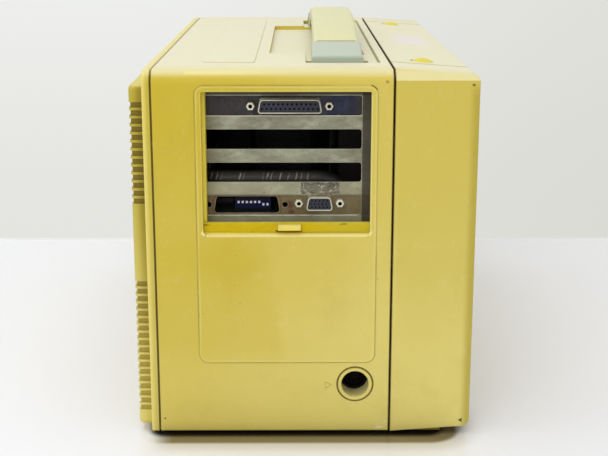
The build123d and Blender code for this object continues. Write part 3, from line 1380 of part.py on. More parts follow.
def key_rows():
    """(x, z, width) of every key, with the space bar apart."""
    keys = []
    space = None
    for row, widths in enumerate(MAIN_ROWS):
        x = KEY_BLOCK_X
        z = KEY_ROW_Z + row * KEY_PITCH
        for k, units in enumerate(widths):
            if row == 0 and k == SPACE_AFTER:
                space = (x + SPACE_UNITS * KEY_PITCH / 2, z, SPACE_UNITS)
                x += SPACE_UNITS * KEY_PITCH
            keys.append((x + units * KEY_PITCH / 2, z, units))
            x += units * KEY_PITCH
    return keys, space


def pad_start():
    return KEY_BLOCK_X + MAIN_UNITS * KEY_PITCH + PAD_GAP


def pad_keys():
    keys = []
    for row in range(len(MAIN_ROWS)):
        z = KEY_ROW_Z + row * KEY_PITCH
        for column in range(PAD_UNITS):
            keys.append((pad_start() + (column + 0.5) * KEY_PITCH, z, 1.0))
    return keys


def function_keys():
    z = KEY_ROW_Z + len(MAIN_ROWS) * KEY_PITCH + FUNCTION_GAP
    step = MAIN_UNITS * KEY_PITCH / FUNCTION_KEYS
    return [(KEY_BLOCK_X + (k + 0.5) * step, z, 1.15) for k in range(FUNCTION_KEYS)]


def keycap(x, z, units):
    """Tapered cap on a square stem."""
    base_x = units * KEY_PITCH - KEY_GAP
    base_z = KEY_PITCH - KEY_GAP
    top_x = base_x - 2 * KEY_TAPER
    top_z = base_z - 2 * KEY_TAPER
    low = Plane(origin=(x, KEY_BASE_Y, z), x_dir=(1, 0, 0), z_dir=(0, 1, 0))
    high = Plane(origin=(x, KEY_TOP_Y, z), x_dir=(1, 0, 0), z_dir=(0, 1, 0))
    cap = loft([low * Rectangle(base_x, base_z), high * Rectangle(top_x, top_z)])
    half = KEY_STEM / 2
    stem = block(x - half, x + half, SWITCH_PLATE_Y - 1.5, KEY_BASE_Y, z - half, z + half)
    return cap + stem


def keycaps_main():
    keys, _ = key_rows()
    return [keycap(*key) for key in keys + pad_keys()]


def keycaps_function():
    return [keycap(*key) for key in function_keys()]


def space_bar():
    _, space = key_rows()
    return keycap(*space)


def switch_plate_area():
    x0 = KEY_BLOCK_X - 4.0
    x1 = pad_start() + PAD_UNITS * KEY_PITCH + 2.0
    z0 = KEY_ROW_Z - KEY_PITCH / 2 - PLATE_MARGIN
    z1 = function_keys()[0][1] + KEY_PITCH / 2 + PLATE_MARGIN
    return (x0, x1, z0, z1)


def keyboard_switch_plate():
    x0, x1, z0, z1 = switch_plate_area()
    plate = block(x0, x1, SWITCH_PLATE_Y - SWITCH_PLATE, SWITCH_PLATE_Y, z0, z1)
    keys, space = key_rows()
    half = KEY_STEM / 2 + 0.2
    holes = []
    for x, z, _ in keys + pad_keys() + function_keys() + [space]:
        holes.append(block(x - half, x + half, SWITCH_PLATE_Y - SWITCH_PLATE - 1, SWITCH_PLATE_Y + 1,
                           z - half, z + half))
    return plate - holes


def keyboard_deck():
    """Inner face of the unit, with one opening for each block of keys."""
    y0, y1 = deck_y()
    slab = block(-X_END, X_END, y0, y1, Z_BASE, Z_TOP)
    deck = keyboard_body(WALL + FIT_GAP) & slab
    gap = KEY_GAP
    rows_z = (KEY_ROW_Z - KEY_PITCH / 2 - gap, KEY_ROW_Z + (len(MAIN_ROWS) - 0.5) * KEY_PITCH + gap)
    main_x = (KEY_BLOCK_X - gap, KEY_BLOCK_X + MAIN_UNITS * KEY_PITCH + gap)
    pad_x = (pad_start() - gap, pad_start() + PAD_UNITS * KEY_PITCH + gap)
    row_z = function_keys()[0][1]
    for side in (-1, 1):
        bar_z = button_top_z() - LATCH_DROP
        deck -= side_block(side, BUTTON_X - LATCH_BAR / 2 - 1.0, BUTTON_X + LATCH_BAR / 2 + 1.0,
                           y0 - 1, y1 + 1, bar_z - BUTTON_TRAVEL - 3.0, bar_z + 1.0)
    deck -= block(*main_x, y0 - 1, y1 + 1, *rows_z)
    deck -= block(*pad_x, y0 - 1, y1 + 1, *rows_z)
    deck -= block(*main_x, y0 - 1, y1 + 1, row_z - KEY_PITCH / 2 - gap, row_z + KEY_PITCH / 2 + gap)
    return deck


def latch_button(side):
    """Domed button, its stem and the bar that faces the strike."""
    x = side * BUTTON_X
    top = button_top_z()
    shoulder = top - 0.5
    dome_r = (BUTTON_R ** 2 + (BUTTON_RISE + 0.5) ** 2) / (2 * (BUTTON_RISE + 0.5))
    dome = Pos(x, BUTTON_Y, top + BUTTON_RISE - dome_r) * Sphere(dome_r)
    button = dome & rod_z(x, BUTTON_Y, BUTTON_R, shoulder, top + BUTTON_RISE + 1)
    button += rod_z(x, BUTTON_Y, BUTTON_R, top - 7.0, shoulder)
    button += rod_z(x, BUTTON_Y, 3.0, top - LATCH_DROP - 2.0, top - 7.0)
    bar_z = top - LATCH_DROP
    button += block(x - LATCH_BAR / 2, x + LATCH_BAR / 2, BUTTON_Y - 3.0, BEZEL_Y - 8.0, bar_z - 2.0, bar_z)
    return button


def latch_button_left():
    return latch_button(-1)


def latch_button_right():
    return latch_button(1)


def keyboard_foot(side):
    """Flip-out foot, folded into its pocket on the outer face."""
    width, thick, height = TILT_FOOT
    x = side * TILT_FOOT_X
    y, z = tilt_axis()
    r = thick / 2
    half = width / 2
    foot = block(x - half, x + half, y - r, y + r, TILT_FOOT_Z - height + 0.4, z)
    foot += rod_x(y, z, r, x - half, x + half)
    foot = foot - block(x - half + 12.0, x + half - 12.0, y - r - 1, y + r + 1,
                        TILT_FOOT_Z - height + 8.0, z - 8.0)
    return foot + rod_x(y, z, TILT_PIN_R, x - half - 2.0, x + half + 2.0)


def keyboard_foot_left():
    return keyboard_foot(-1)


def keyboard_foot_right():
    return keyboard_foot(1)


# ---- write one file for each sub-part -------------------------------------
NODES = [
    main_casing, base_plate, rubber_feet, casing_screws, rear_panel, rear_vent_block,
    chassis_frame, slot_frame, socket_plate, parallel_bracket, parallel_connector,
    video_bracket, video_connector, card_boards, card_screws, board_chips,
    dip_switch_block, dip_sliders_up, dip_sliders_down, riser_board, main_board,
    power_supply, power_inlet, power_rocker, fan_frame, fan_rotor,
    floppy_drive, floppy_bezel, floppy_lever, hard_drive, wiring_loom, socket_shroud,
    keyboard_socket, port_door, door_guide_frame, front_bezel, display_glass,
    display_panel, speaker, control_board, brightness_knob, contrast_knob,
    latch_strikes, handle_grip, handle_end_caps, handle_legs, handle_guides,
    keyboard_shell, keyboard_back, keyboard_fixings, keyboard_deck,
    keyboard_switch_plate, keycaps_main,
    keycaps_function, space_bar, latch_button_left, latch_button_right,
    keyboard_foot_left, keyboard_foot_right,
]


def write_node(make):
    shape = make()
    solids = []
    for piece in (shape if isinstance(shape, list) else [shape]):
        solids.extend(piece.solids())
    whole = Compound(children=solids) if len(solids) > 1 else solids[0]
    export_step(whole, os.path.join("parts", make.__name__ + ".step"))


os.makedirs("parts", exist_ok=True)
for node in NODES:
    write_node(node)
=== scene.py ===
import math
import random

import bmesh
import bpy
from bpy.props import FloatProperty, FloatVectorProperty, PointerProperty
from bpy.types import Operator, Panel, PropertyGroup
from mathutils import Matrix, Vector


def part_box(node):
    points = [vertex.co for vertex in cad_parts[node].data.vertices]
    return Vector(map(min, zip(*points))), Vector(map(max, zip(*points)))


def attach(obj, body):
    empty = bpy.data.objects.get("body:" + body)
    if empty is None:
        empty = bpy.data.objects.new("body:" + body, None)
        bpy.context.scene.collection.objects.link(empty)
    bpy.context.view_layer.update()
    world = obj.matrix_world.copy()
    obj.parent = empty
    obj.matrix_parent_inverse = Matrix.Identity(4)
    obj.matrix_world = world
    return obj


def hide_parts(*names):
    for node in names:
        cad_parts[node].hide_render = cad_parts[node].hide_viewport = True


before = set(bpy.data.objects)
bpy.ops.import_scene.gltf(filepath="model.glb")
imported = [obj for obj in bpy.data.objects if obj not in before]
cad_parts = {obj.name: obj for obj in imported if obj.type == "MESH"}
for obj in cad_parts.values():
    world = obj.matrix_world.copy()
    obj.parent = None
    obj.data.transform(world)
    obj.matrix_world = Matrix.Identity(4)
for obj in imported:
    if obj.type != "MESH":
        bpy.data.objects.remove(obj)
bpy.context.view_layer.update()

# A luggable computer: procedural finishes for its moulded, pressed and cast
# parts, and finer pieces for the parts that the solid model keeps simple.
# Metres. +X runs to the disk drive end, +Y to the rear, +Z up.

bl_info = {
    "name": "Luggable Computer",
    "version": (1, 0, 0),
    "blender": (4, 5, 0),
    "location": "View3D > Sidebar > Luggable",
    "description": "Finishes and detail pieces for a luggable computer",
    "category": "Object",
}

MM = 0.001
CASING_END = 195.0 * MM       # the faces of the two end walls
CASING_TOP = 228.0 * MM
TABLE_START = -1.6            # the table runs from here to the backdrop
TABLE_HALF = 2.2              # and this far to either side
BACKDROP_X = 0.285
BACKDROP_SWEEP = 0.03         # radius of the curve up into the backdrop
BACKDROP_HEIGHT = 1.9
BACKDROP_LEAN = 0.02
PORT_FIELD = (-0.0437, 0.0477), (0.0642, 0.2192)      # raised field on the port end: low and high (y, z)
PORT_WINDOW = (-0.0399, 0.130), (0.0604, 0.2155)      # the opening that the sliding door closes
PORT_SOCKET = (-0.0428, 0.0224), (-0.0208, 0.0444)    # the recess of the keyboard socket
UNIT_SEAM = -0.0545           # y of the joint between the casing and the front unit
REAR_SEAM = 0.0904            # y of the joint between the casing and the rear panel
VENT_ROWS = (0.0135, 0.0995), (0.1465, 0.2098)        # z of the two rows of ribs
SHELL_HEIGHT = 8.4 * MM       # mouth of a card connector's shell
SHELL_SLANT = SHELL_HEIGHT * math.tan(math.radians(10))
DENSE_PITCH = 2.29 * MM       # spacing of the contacts in the narrow connector
SHANK = 1.5 * MM              # radius of a screw's shank
HEAD = 2.8 * MM               # and of its head
REAR_SHARE, FRONT_SHARE = 0.6, 0.42              # of the fill lamp's power
CAMERA_AT = (-0.9059, 0.0034, 0.315)
CAMERA_DOWN, CAMERA_SIDE = 14.33, 0.287          # degrees
SENSOR = 36.0                                    # width in mm
FOCAL = 1221.0 / 608.0 * SENSOR                  # focal length over the frame's width


# ---- shader sums ----------------------------------------------------------
class Wire:
    """A node output that takes part in Python sums; each sum adds a Math node."""

    def __init__(self, finish, link):
        self.finish, self.link = finish, link

    def __add__(self, other):
        return self.finish.math("ADD", self, other)

    def __mul__(self, other):
        return self.finish.math("MULTIPLY", self, other)

    __radd__, __rmul__ = __add__, __mul__

    def __sub__(self, other):
        return self.finish.math("SUBTRACT", self, other)

    def __rsub__(self, other):
        return self.finish.math("SUBTRACT", other, self)

    def __abs__(self):
        return self.finish.math("ABSOLUTE", self)

    def rise(self, start, end):
        """0 before start, 1 after end, smooth between; start may be the larger."""
        return self.finish.node("ShaderNodeMapRange", {"interpolation_type": "SMOOTHSTEP"},
                                {"Value": self, "From Min": start, "From Max": end}, "Result")

    def within(self, low, high, soft):
        """1 between low and high, fading over soft on both sides."""
        return self.rise(low - soft, low + soft) * self.rise(high + soft, high - soft)


def paint(red, green, blue):
    """Linear colour from screen values of 0 to 255."""
    line = [c / 255.0 for c in (red, green, blue)]
    return tuple(c / 12.92 if c <= 0.04045 else ((c + 0.055) / 1.055) ** 2.4 for c in line) + (1.0,)


def shade_of(colour, share):
    """The same colour, darker or lighter."""
    return tuple(min(1.0, c * share) for c in colour[:3]) + (1.0,)


class Finish:
    """A procedural material under construction; edge is the radius that rounds its edges."""

    body = None

    def __init__(self, name, edge=None, metallic=0.0, specular=0.5):
        self.material = bpy.data.materials.new(name)
        self.material.use_nodes = True
        self.tree = self.material.node_tree
        self.surface = self.tree.nodes["Principled BSDF"]
        self.surface.inputs["Metallic"].default_value = metallic
        self.surface.inputs["Specular IOR Level"].default_value = specular
        self.place = self.node("ShaderNodeTexCoord", out="Object")
        self.x, self.y, self.z = self.parts(self.place)
        self.soft = None if edge is None else self.round_edges(edge)

    def node(self, kind, settings=None, sockets=None, out=0):
        """Any node: its settings first, then the values or links of its sockets."""
        made = self.tree.nodes.new(kind)
        for key, value in (settings or {}).items():
            setattr(made, key, value)
        for key, value in (sockets or {}).items():
            self.feed(made.inputs[key], value)
        return Wire(self, made.outputs[out])

    def feed(self, target, value):
        """Links a wire to a socket, or sets the socket's value."""
        if isinstance(value, Wire):
            self.tree.links.new(value.link, target)
        else:
            target.default_value = value

    def math(self, operation, first, second=0.0):
        return self.node("ShaderNodeMath", {"operation": operation}, {0: first, 1: second})

    def parts(self, vector):
        """The three parts of a vector."""
        split = self.node("ShaderNodeSeparateXYZ", None, {0: vector})
        outs = split.link.node.outputs
        return [Wire(self, outs[k]) for k in range(3)]

    def mix(self, share, low, high):
        return self.node("ShaderNodeMix", {"data_type": "RGBA"}, {0: share, 6: low, 7: high}, 2)

    def coat(self, share, *colour):
        """Lays a colour over the body: three screen values, or one colour."""
        self.body = self.mix(share, self.body, paint(*colour) if len(colour) == 3 else colour[0])

    def stretch(self, scale, turn=(0.0, 0.0, 0.0)):
        return self.node("ShaderNodeMapping", None,
                         {"Vector": self.place, "Scale": scale, "Rotation": turn})

    def cloud(self, scale, detail=3.0, rough=0.55, at=None, seed=0.0):
        """Soft noise from 0 to 1, in features of 1/scale metres."""
        return self.node("ShaderNodeTexNoise", {"noise_dimensions": "4D"},
                         {"Vector": at or self.place, "W": seed, "Scale": scale, "Detail": detail,
                          "Roughness": rough}, "Fac")

    def cells(self, scale, out="Distance", at=None):
        return self.node("ShaderNodeTexVoronoi", None, {"Vector": at or self.place, "Scale": scale}, out)

    def specks(self, scale, size, share, seed=0.0):
        """Sparse dots: size and share are parts of a cell."""
        shifted = self.node("ShaderNodeVectorMath", {"operation": "ADD"},
                            {0: self.place, 1: (seed, seed * 0.7, seed * 1.3)})
        dot = self.cells(scale, at=shifted)
        pick = self.parts(self.cells(scale, "Color", at=shifted))[0]
        return dot.rise(size, size * 0.5) * pick.rise(1.0 - share, 1.0 - share + 0.01)

    def faces(self):
        """The surface's direction at this point, in the object's own axes."""
        return self.parts(self.node("ShaderNodeTexCoord", out="Normal"))

    def outline(self, across, up, low, high, corner):
        """Distance outside a rounded rectangle from low to high, below 0 inside."""
        out = []
        for k, value in enumerate((across, up)):
            middle, half = (low[k] + high[k]) / 2, (high[k] - low[k]) / 2
            out.append(abs(value - middle) - (half - corner))
        past = [self.math("MAXIMUM", value, 0.0) for value in out]
        away = self.math("SQRT", past[0] * past[0] + past[1] * past[1])
        return away + self.math("MINIMUM", self.math("MAXIMUM", out[0], out[1]), 0.0) - corner

    def round_edges(self, radius):
        """Normals that make the edges look rounded."""
        return self.node("ShaderNodeBevel", {"samples": 4}, {"Radius": radius}, "Normal")

    def edges(self):
        """1 on convex and concave edges, 0 on flats."""
        flat = self.node("ShaderNodeNewGeometry", out="Normal")
        same = self.node("ShaderNodeVectorMath", {"operation": "DOT_PRODUCT"}, {0: self.soft, 1: flat}, "Value")
        return (1.0 - same).rise(0.01, 0.16)

    def done(self, rough, height=None, distance=0.0, strength=1.0):
        """Feeds the body's colour, the roughness and any height map, and returns the material."""
        self.feed(self.surface.inputs["Base Color"], self.body)
        self.feed(self.surface.inputs["Roughness"], rough)
        if height is not None:
            sockets = {"Strength": strength, "Distance": distance, "Height": height}
            if self.soft is not None:
                sockets["Normal"] = self.soft
            self.feed(self.surface.inputs["Normal"], self.node("ShaderNodeBump", None, sockets, "Normal"))
        return self.material


# ---- sizes and colours that a user may change -----------------------------
def colour_property(label, about, value):
    return FloatVectorProperty(name=label, description=about, default=paint(*value)[:3],
                               subtype="COLOR", size=3, min=0.0, max=1.0)


class CasingLook(PropertyGroup):
    sunned: colour_property("Sunned plastic", "Casing colour where age has yellowed it most", (202, 178, 36))
    pale: colour_property("Pale plastic", "Casing colour where it has yellowed least", (228, 213, 122))
    # on faces that look up this colour stands for bleaching and painted light from above together
    top: colour_property("Bleached top", "Casing colour on the faces that look up", (227, 223, 197))
    inner: colour_property("Inner plastic", "Screen bezel and keyboard deck, kept from the light", (205, 192, 150))
    vent: colour_property("Vent block", "Ribbed block on the rear", (186, 168, 52))
    door: colour_property("Port door", "Sliding door under the port window", (214, 186, 6))
    edge_radius: FloatProperty(name="Edge radius", description="Radius that softens the moulded edges in the light",
                               default=0.7 * MM, min=0.0, max=3 * MM, unit="LENGTH")


class HandleLook(PropertyGroup):
    grip: colour_property("Grip", "Long middle part of the handle", (217, 214, 164))
    cap: colour_property("End cap", "Grey-green cap at each end", (186, 194, 176))
    lip: colour_property("Lip", "Dark rim at the very end of each cap", (172, 182, 160))
    edge: FloatProperty(name="Long edge radius", description="Radius along the grip's upper edges",
                        default=3.2 * MM, min=0.5 * MM, max=4 * MM, unit="LENGTH")
    lip_length: FloatProperty(name="Lip length", description="Length of the dark rim",
                              default=2.8 * MM, min=1 * MM, max=6 * MM, unit="LENGTH")


class PortLook(PropertyGroup):
    rail: colour_property("Slot frame", "Galvanised sheet round the card slots", (160, 160, 136))
    shell: colour_property("Connector shell", "Plated rim of the connectors", (232, 227, 206))
    loom: colour_property("Loom sleeve", "Sleeve on the wiring behind the third slot", (58, 55, 47))
    foil: colour_property("Foil remnant", "Torn silver foil left on a rail", (132, 128, 108))
    contact_pitch: FloatProperty(name="Contact pitch", description="Spacing of the contacts in the wide connector",
                                 default=2.76 * MM, min=2 * MM, max=3 * MM, unit="LENGTH")


class KeyLook(PropertyGroup):
    light: colour_property("Letter keys", "Caps of the letter and number keys", (214, 206, 180))
    dark: colour_property("Function keys", "Caps of the wide and function keys", (150, 146, 130))
    dish: FloatProperty(name="Key dish", description="Depth of the hollow in each cap",
                        default=0.5 * MM, min=0.0, max=1 * MM, unit="LENGTH")


class StageLook(PropertyGroup):
    table: colour_property("Table", "Glossy white table", (243, 244, 249))
    key_power: FloatProperty(name="Key lamp", description="Power of the large lamp overhead",
                             default=9.6, min=0.0, max=100.0, unit="POWER")
    fill_power: FloatProperty(name="Fill lamp", description="Power of the lamp beside the camera",
                              default=8.5, min=0.0, max=100.0, unit="POWER")
    sky: FloatProperty(name="Sky", description="Strength of the even light from all round",
                       default=0.55, min=0.0, max=2.0)


def tint(value):
    """A colour property as a colour with alpha."""
    return tuple(value) + (1.0,)


# ---- finishes -------------------------------------------------------------
EVEN = (1.0, 1.0, 1.0)        # a stretch that changes nothing


def casing_plastic(look):
    """Aged moulded plastic: golden where the sun reached it, bleached on top."""
    f = Finish("aged_casing", look.edge_radius, specular=0.36)
    # no soft edge where the front unit's panel meets its walls
    joint = f.y.within(-0.0985, -0.0961, 0.0004)
    f.soft = f.node("ShaderNodeMix", {"data_type": "VECTOR"},
                    {0: joint, 4: f.soft, 5: f.node("ShaderNodeNewGeometry", out="Normal")}, 1)
    drift = f.cloud(9.0, 2.0, seed=1.0) - 0.5
    across = (f.y + drift * 0.05).rise(0.095, -0.095)
    downward = (f.z + drift * 0.06).rise(0.235, -0.02)
    mottle = f.cloud(38.0, 4.0, seed=2.0)
    age = across * 0.42 + downward * 0.55 + (mottle - 0.5) * 0.16
    f.body = f.mix(age, tint(look.sunned), tint(look.pale))
    # the rear half of the raised field is a deeper gold
    slant = f.y + (f.z - 0.09) * -0.2 + drift * 0.02
    f.coat(slant.rise(0.012, 0.022) * f.z.within(0.052, 0.128, 0.01) * 0.3, tint(look.sunned))
    away = abs(f.y - 0.046) + abs(f.z - 0.112) * 0.8
    f.coat((away + drift * 0.02).rise(0.034, 0.004) * f.x.rise(-0.193, -0.1945) * 0.45, 200, 174, 34)
    front_unit = f.y.rise(-0.055, -0.057) * f.z.rise(0.03, 0.12)
    f.coat(front_unit * 0.3, 198, 180, 66)
    # painted shade on the front unit's front face, below its top edge
    f.coat(f.y.rise(-0.0965, -0.1020) * f.z.rise(0.222, 0.214) * 0.75, 178, 158, 48)
    # walls inside the window are untouched gold, painted brighter on the +y wall as if lit, and the hollow behind is
    # painted dark as shade
    inside = f.x.rise(-0.1935, -0.192) * f.x.rise(-0.17, -0.178) * f.y.within(-0.0485, 0.0700, 0.001)
    lit_wall = f.mix(f.y.rise(0.0, 0.05), paint(200, 174, 22), paint(250, 228, 72))
    f.coat(inside * f.z.rise(0.06, 0.07) * 0.85, lit_wall)
    f.coat(inside * f.z.rise(0.07, 0.06) * 0.85, 206, 200, 150)
    hollow = (f.x.rise(-0.1805, -0.1785) * f.x.rise(0.1926, 0.1919) * f.z.rise(0.2238, 0.2230)
              * f.y.rise(-0.050, -0.046))
    f.coat(hollow * 0.96, 16, 13, 8)
    normal_z = f.faces()[2]
    lid_step = f.z.rise(0.22790, 0.22798)
    # faces that look up are painted pale: bleached, together with painted light from above
    top = f.math("MAXIMUM", normal_z.rise(0.35, 0.98) * f.z.rise(0.205, 0.212), lid_step)
    near_end = f.x.rise(-0.165, -0.188) + f.x.rise(0.165, 0.188)
    worn_lit_top = f.mix(f.cloud(14.0, 3.0, seed=3.0) * 0.6, tint(look.top), paint(225, 219, 176))
    worn_lit_top = f.mix(near_end * 0.7, worn_lit_top, paint(222, 212, 146))
    f.coat(top * 0.95, worn_lit_top)
    # a bare pale patch between the latch buttons
    patch = f.outline(f.x + drift * 0.02, f.y + drift * 0.01, (-0.035, -0.0905), (0.04, -0.0665), 0.01)
    f.coat(patch.rise(0.004, -0.006) * normal_z.rise(0.8, 0.95) * 0.85, 229, 218, 214)
    # painted highlight along the edges, partly wear, dark lines at the seams and dust at the bottom
    f.coat(f.edges() * 0.34, 232, 220, 150)
    seam = (f.y.within(UNIT_SEAM + 0.0003, UNIT_SEAM + 0.0019, 0.0005)
            + f.y.within(REAR_SEAM - 0.0012, REAR_SEAM + 0.0002, 0.0002) * (1.0 - top * 0.4))
    f.coat(seam * 0.9, 72, 50, 0)
    # painted shade along the edge of the handle's channel
    channel = f.y.within(-0.0474, -0.0462, 0.0003) * normal_z.rise(0.5, 0.9) * abs(f.x).rise(0.158, 0.156)
    f.coat(channel * 0.75, 96, 88, 44)
    on_unit, high_up = f.y.rise(UNIT_SEAM, UNIT_SEAM - 0.0005), f.z.rise(0.2, 0.21)
    # painted shade in the cross grooves on the front unit's top
    cross = abs(f.x).within(0.1498, 0.1522, 0.0004) * on_unit * high_up
    f.coat(cross * 0.9, 172, 158, 48)
    # painted shading where the front unit's top turns down at each end
    step = abs(f.x).within(0.1866, 0.1886, 0.0006) * on_unit * high_up
    f.coat(step * 0.35, 214, 200, 96)
    # the walls of the handle's recess, seen edge on
    recess = (f.z.within(0.2266, 0.2279, 0.0002) * abs(f.x).rise(0.1605, 0.1590)
              * f.y.within(-0.0480, -0.0006, 0.0004) * abs(normal_z).rise(0.6, 0.3))
    f.coat(recess * 0.7, 206, 196, 108)
    low = f.z.rise(0.010, 0.002) * f.cloud(60.0, 4.0, seed=4.0)
    f.coat(low * 0.4, 160, 140, 74)
    end = f.x.rise(-0.1925, -0.194)
    field = port_end_lines(f, end)
    dots = f.specks(95.0, 0.05, 0.035) + f.specks(210.0, 0.08, 0.02, 3.0)
    f.coat(dots * 0.75, 92, 78, 40)
    haze = f.cloud(120.0, 6.0, 0.7, seed=5.0).rise(0.54, 0.72)
    f.coat(haze * 0.14, 236, 224, 160)
    stain = f.cloud(22.0, 5.0, 0.7, seed=12.0).rise(0.52, 0.72)
    f.coat(stain * (1.0 - top) * 0.12, 170, 144, 40)
    # the rest under the front unit is painted dark, as the shade it stands back in
    rest = f.y.rise(UNIT_SEAM, UNIT_SEAM - 0.0010) * f.z.rise(0.0060, 0.0052) * abs(f.x).rise(0.1944, 0.1940)
    f.coat(rest * 0.85, 112, 92, 24)
    port_end_marks(f, field, end)
    gloss = f.cloud(70.0, 5.0, seed=6.0)
    grain = f.cloud(1500.0, 2.0, 0.6) * 0.6 + f.cloud(420.0, 2.0) * 0.4
    return f.done(0.38 + gloss * 0.16 - top * 0.03 + dots * 0.2, grain, 0.06 * MM, 0.35)


def port_end_lines(f, end):
    """Painted shade and highlight round the port end's raised field and window, a dark line round the socket; returns
    the field's outline.
    """
    # the step round the raised field: a line of painted shade with one of painted highlight inside it
    field = f.outline(f.y, f.z, *PORT_FIELD, 0.0055)
    broken = f.cloud(30.0, 4.0, seed=7.0).rise(0.3, 0.6) * 0.6 + 0.4
    beside = 1.0 - f.z.rise(0.11, 0.13) * f.y.rise(0.0, -0.03) * 0.9
    f.coat(field.within(-0.0002, 0.0005, 0.0003) * end * broken * beside * 0.6, 150, 126, 44)
    f.coat(field.within(-0.0013, -0.0006, 0.0003) * end * broken * 0.4, 236, 222, 142)
    # painted highlight round the window, strongest along the sill and the right-hand side
    window = f.outline(f.y, f.z, *PORT_WINDOW, 0.003)
    lit_rim = f.z.rise(0.134, 0.130) * 0.75 + f.y.rise(-0.037, -0.0395) * f.z.rise(0.130, 0.134) * 0.5
    sill = f.z.rise(0.132, 0.130) * 0.0016
    f.coat(window.within(-0.0008, 0.0006 + sill, 0.0003) * end * f.math("MINIMUM", lit_rim + 0.25, 1.0),
           244, 228, 146)
    socket = f.outline(f.y, f.z, *PORT_SOCKET, 0.011)
    f.coat(socket.within(-0.0006, 0.0006, 0.0003) * end * 0.8, 96, 72, 12)
    return field


def port_end_marks(f, field, end):
    """Chips and scuffs at their own places on the port end."""
    # the lowest one is a small triangle with its point to the rear
    lean = (f.y + 0.0978) * 0.75 + abs(f.z - 0.0092) * 1.3 + (f.cloud(600.0, 2.0, seed=3.0) - 0.5) * 0.0006
    f.coat(lean.rise(0.0013, 0.0008) * f.y.rise(-0.0992, -0.0987) * end * 0.95, 62, 46, 40)
    # place and reach in mm, colour and strength
    for y, z, reach, dark, share in ((-99.6, 219.4, 1.5, (84, 70, 28), 0.9),
                                     (-49.0, 221.3, 1.6, (110, 94, 40), 0.6), (86.6, 10.8, 0.9, (70, 62, 40), 0.8),
                                     (-45.1, 101.5, 0.8, (150, 130, 70), 0.6), (38.9, 86.0, 0.7, (120, 100, 50), 0.5)):
        away = (abs(f.y - y * MM) + abs(f.z - z * MM) * 1.1
                + (f.cloud(500.0, 2.0, seed=y) - 0.5) * 0.0014)
        f.coat(away.rise(reach * MM, reach * 0.55 * MM) * end * share, *dark)
    # a dark curved chip at the field's upper corner
    arc = field.within(-0.0001, 0.0006, 0.0002) * f.y.rise(-0.0390, -0.0397) * f.z.rise(0.2160, 0.2170)
    f.coat(arc * end * 0.8, 84, 70, 30)
    for y, z, reach in ((-47.0, 4.6, 4.5), (-51.2, 8.0, 2.6)):
        away = abs(f.y - y * MM) + abs(f.z - z * MM) * 1.4
        rub = away.rise(reach * MM, 0.2 * MM) * f.cloud(420.0, 3.0, seed=z).rise(0.42, 0.56)
        f.coat(rub * end * 0.8, 238, 222, 190)


def plain_plastic(name, colour, worn, roughness, radius, grain=0.3, dusty=0.25, specular=0.4):
    """Moulded plastic in one colour, with mottling, worn edges that also carry a painted highlight, and fine grain."""
    f = Finish(name, radius, specular=specular)
    drift = f.cloud(22.0, 4.0, seed=len(name))
    f.body = f.mix(drift * 0.55, colour, worn)
    # edges lightened: wear, and a painted highlight
    f.coat(f.edges() * 0.35, worn)
    dots = f.specks(160.0, 0.06, 0.03, 2.0)
    f.coat(dots * 0.5, 70, 64, 46)
    dust = f.cloud(180.0, 6.0, 0.7, seed=9.0).rise(0.5, 0.75)
    f.coat(dust * dusty, worn)
    gloss = f.cloud(90.0, 4.0, seed=7.0)
    return f.done(roughness - 0.06 + gloss * 0.14, f.cloud(1300.0, 2.0, 0.6), 0.06 * MM, grain)


def vent_plastic(look):
    """Olive block: pale along the ribs as painted highlight, dusty between them and painted dark there as shade."""
    f = Finish("vent_block", 0.5 * MM, specular=0.22)
    back = f.y.rise(0.1026, 0.1020)
    side = abs(f.x).rise(0.1902, 0.1896)
    ribbed = [f.z.within(low, high, 0.0008) for low, high in VENT_ROWS]
    valley = back * side * (ribbed[0] + ribbed[1])
    # paler low down and darker olive high up, the darkening partly painted shade
    f.body = f.mix(f.z.rise(0.02, 0.2), paint(226, 212, 124), tint(look.vent))
    f.coat(f.cloud(30.0, 4.0, seed=4.0) * 0.3, 196, 182, 84)
    # painted shade towards the corner against the panel
    high = f.z.rise(0.02, 0.16)
    corner = f.mix(high, paint(210, 192, 92), paint(146, 128, 24))
    f.coat(f.y.rise(0.1015, 0.0960) * f.z.rise(0.2190, 0.2175) * 0.9, corner)
    # painted shade in the valleys between the ribs, deeper high up
    f.coat(valley * 0.75, f.mix(high, paint(172, 152, 66), paint(110, 90, 16)))
    # painted light on the faces that look up at the top
    f.coat(f.faces()[2].rise(0.4, 0.95) * f.z.rise(0.21, 0.2185) * 0.8, 212, 202, 122)
    # painted highlight along the rib edges, less in the valleys
    f.coat(f.edges() * (1.0 - valley * 0.8) * 0.6, 216, 205, 112)
    dust = f.cloud(260.0, 6.0, 0.7).rise(0.5, 0.75) * valley
    f.coat(dust * 0.35, 150, 134, 66)
    return f.done(0.4 + f.cloud(80.0, 4.0) * 0.15, f.cloud(1300.0, 2.0, 0.6), 0.06 * MM, 0.35)


def panel_plastic(look):
    """Rear panel: a deep gold edge with a pale line at each arris, painted as highlight."""
    f = Finish("panel_gold", 0.8 * MM, specular=0.2)
    normal_z = f.faces()[2]
    f.body = f.mix(f.z.rise(0.02, 0.22), paint(206, 188, 90), paint(196, 174, 42))
    # painted highlight on the panel's edge beside the vent block
    f.coat(f.y.rise(0.0915, 0.0948) * 0.8, 240, 224, 128)
    f.coat(f.y.rise(0.0908, 0.0903) * 0.9, 72, 50, 0)
    # painted light on the faces that look up
    f.coat(normal_z.rise(0.3, 0.95) * 0.8, 230, 220, 158)
    f.coat(f.cloud(50.0, 4.0) * 0.25, tint(look.pale))
    # painted highlight along the edges
    f.coat(f.edges() * 0.3, 228, 214, 142)
    return f.done(0.38 + f.cloud(80.0, 4.0) * 0.15, f.cloud(1400.0, 2.0, 0.6), 0.06 * MM, 0.35)


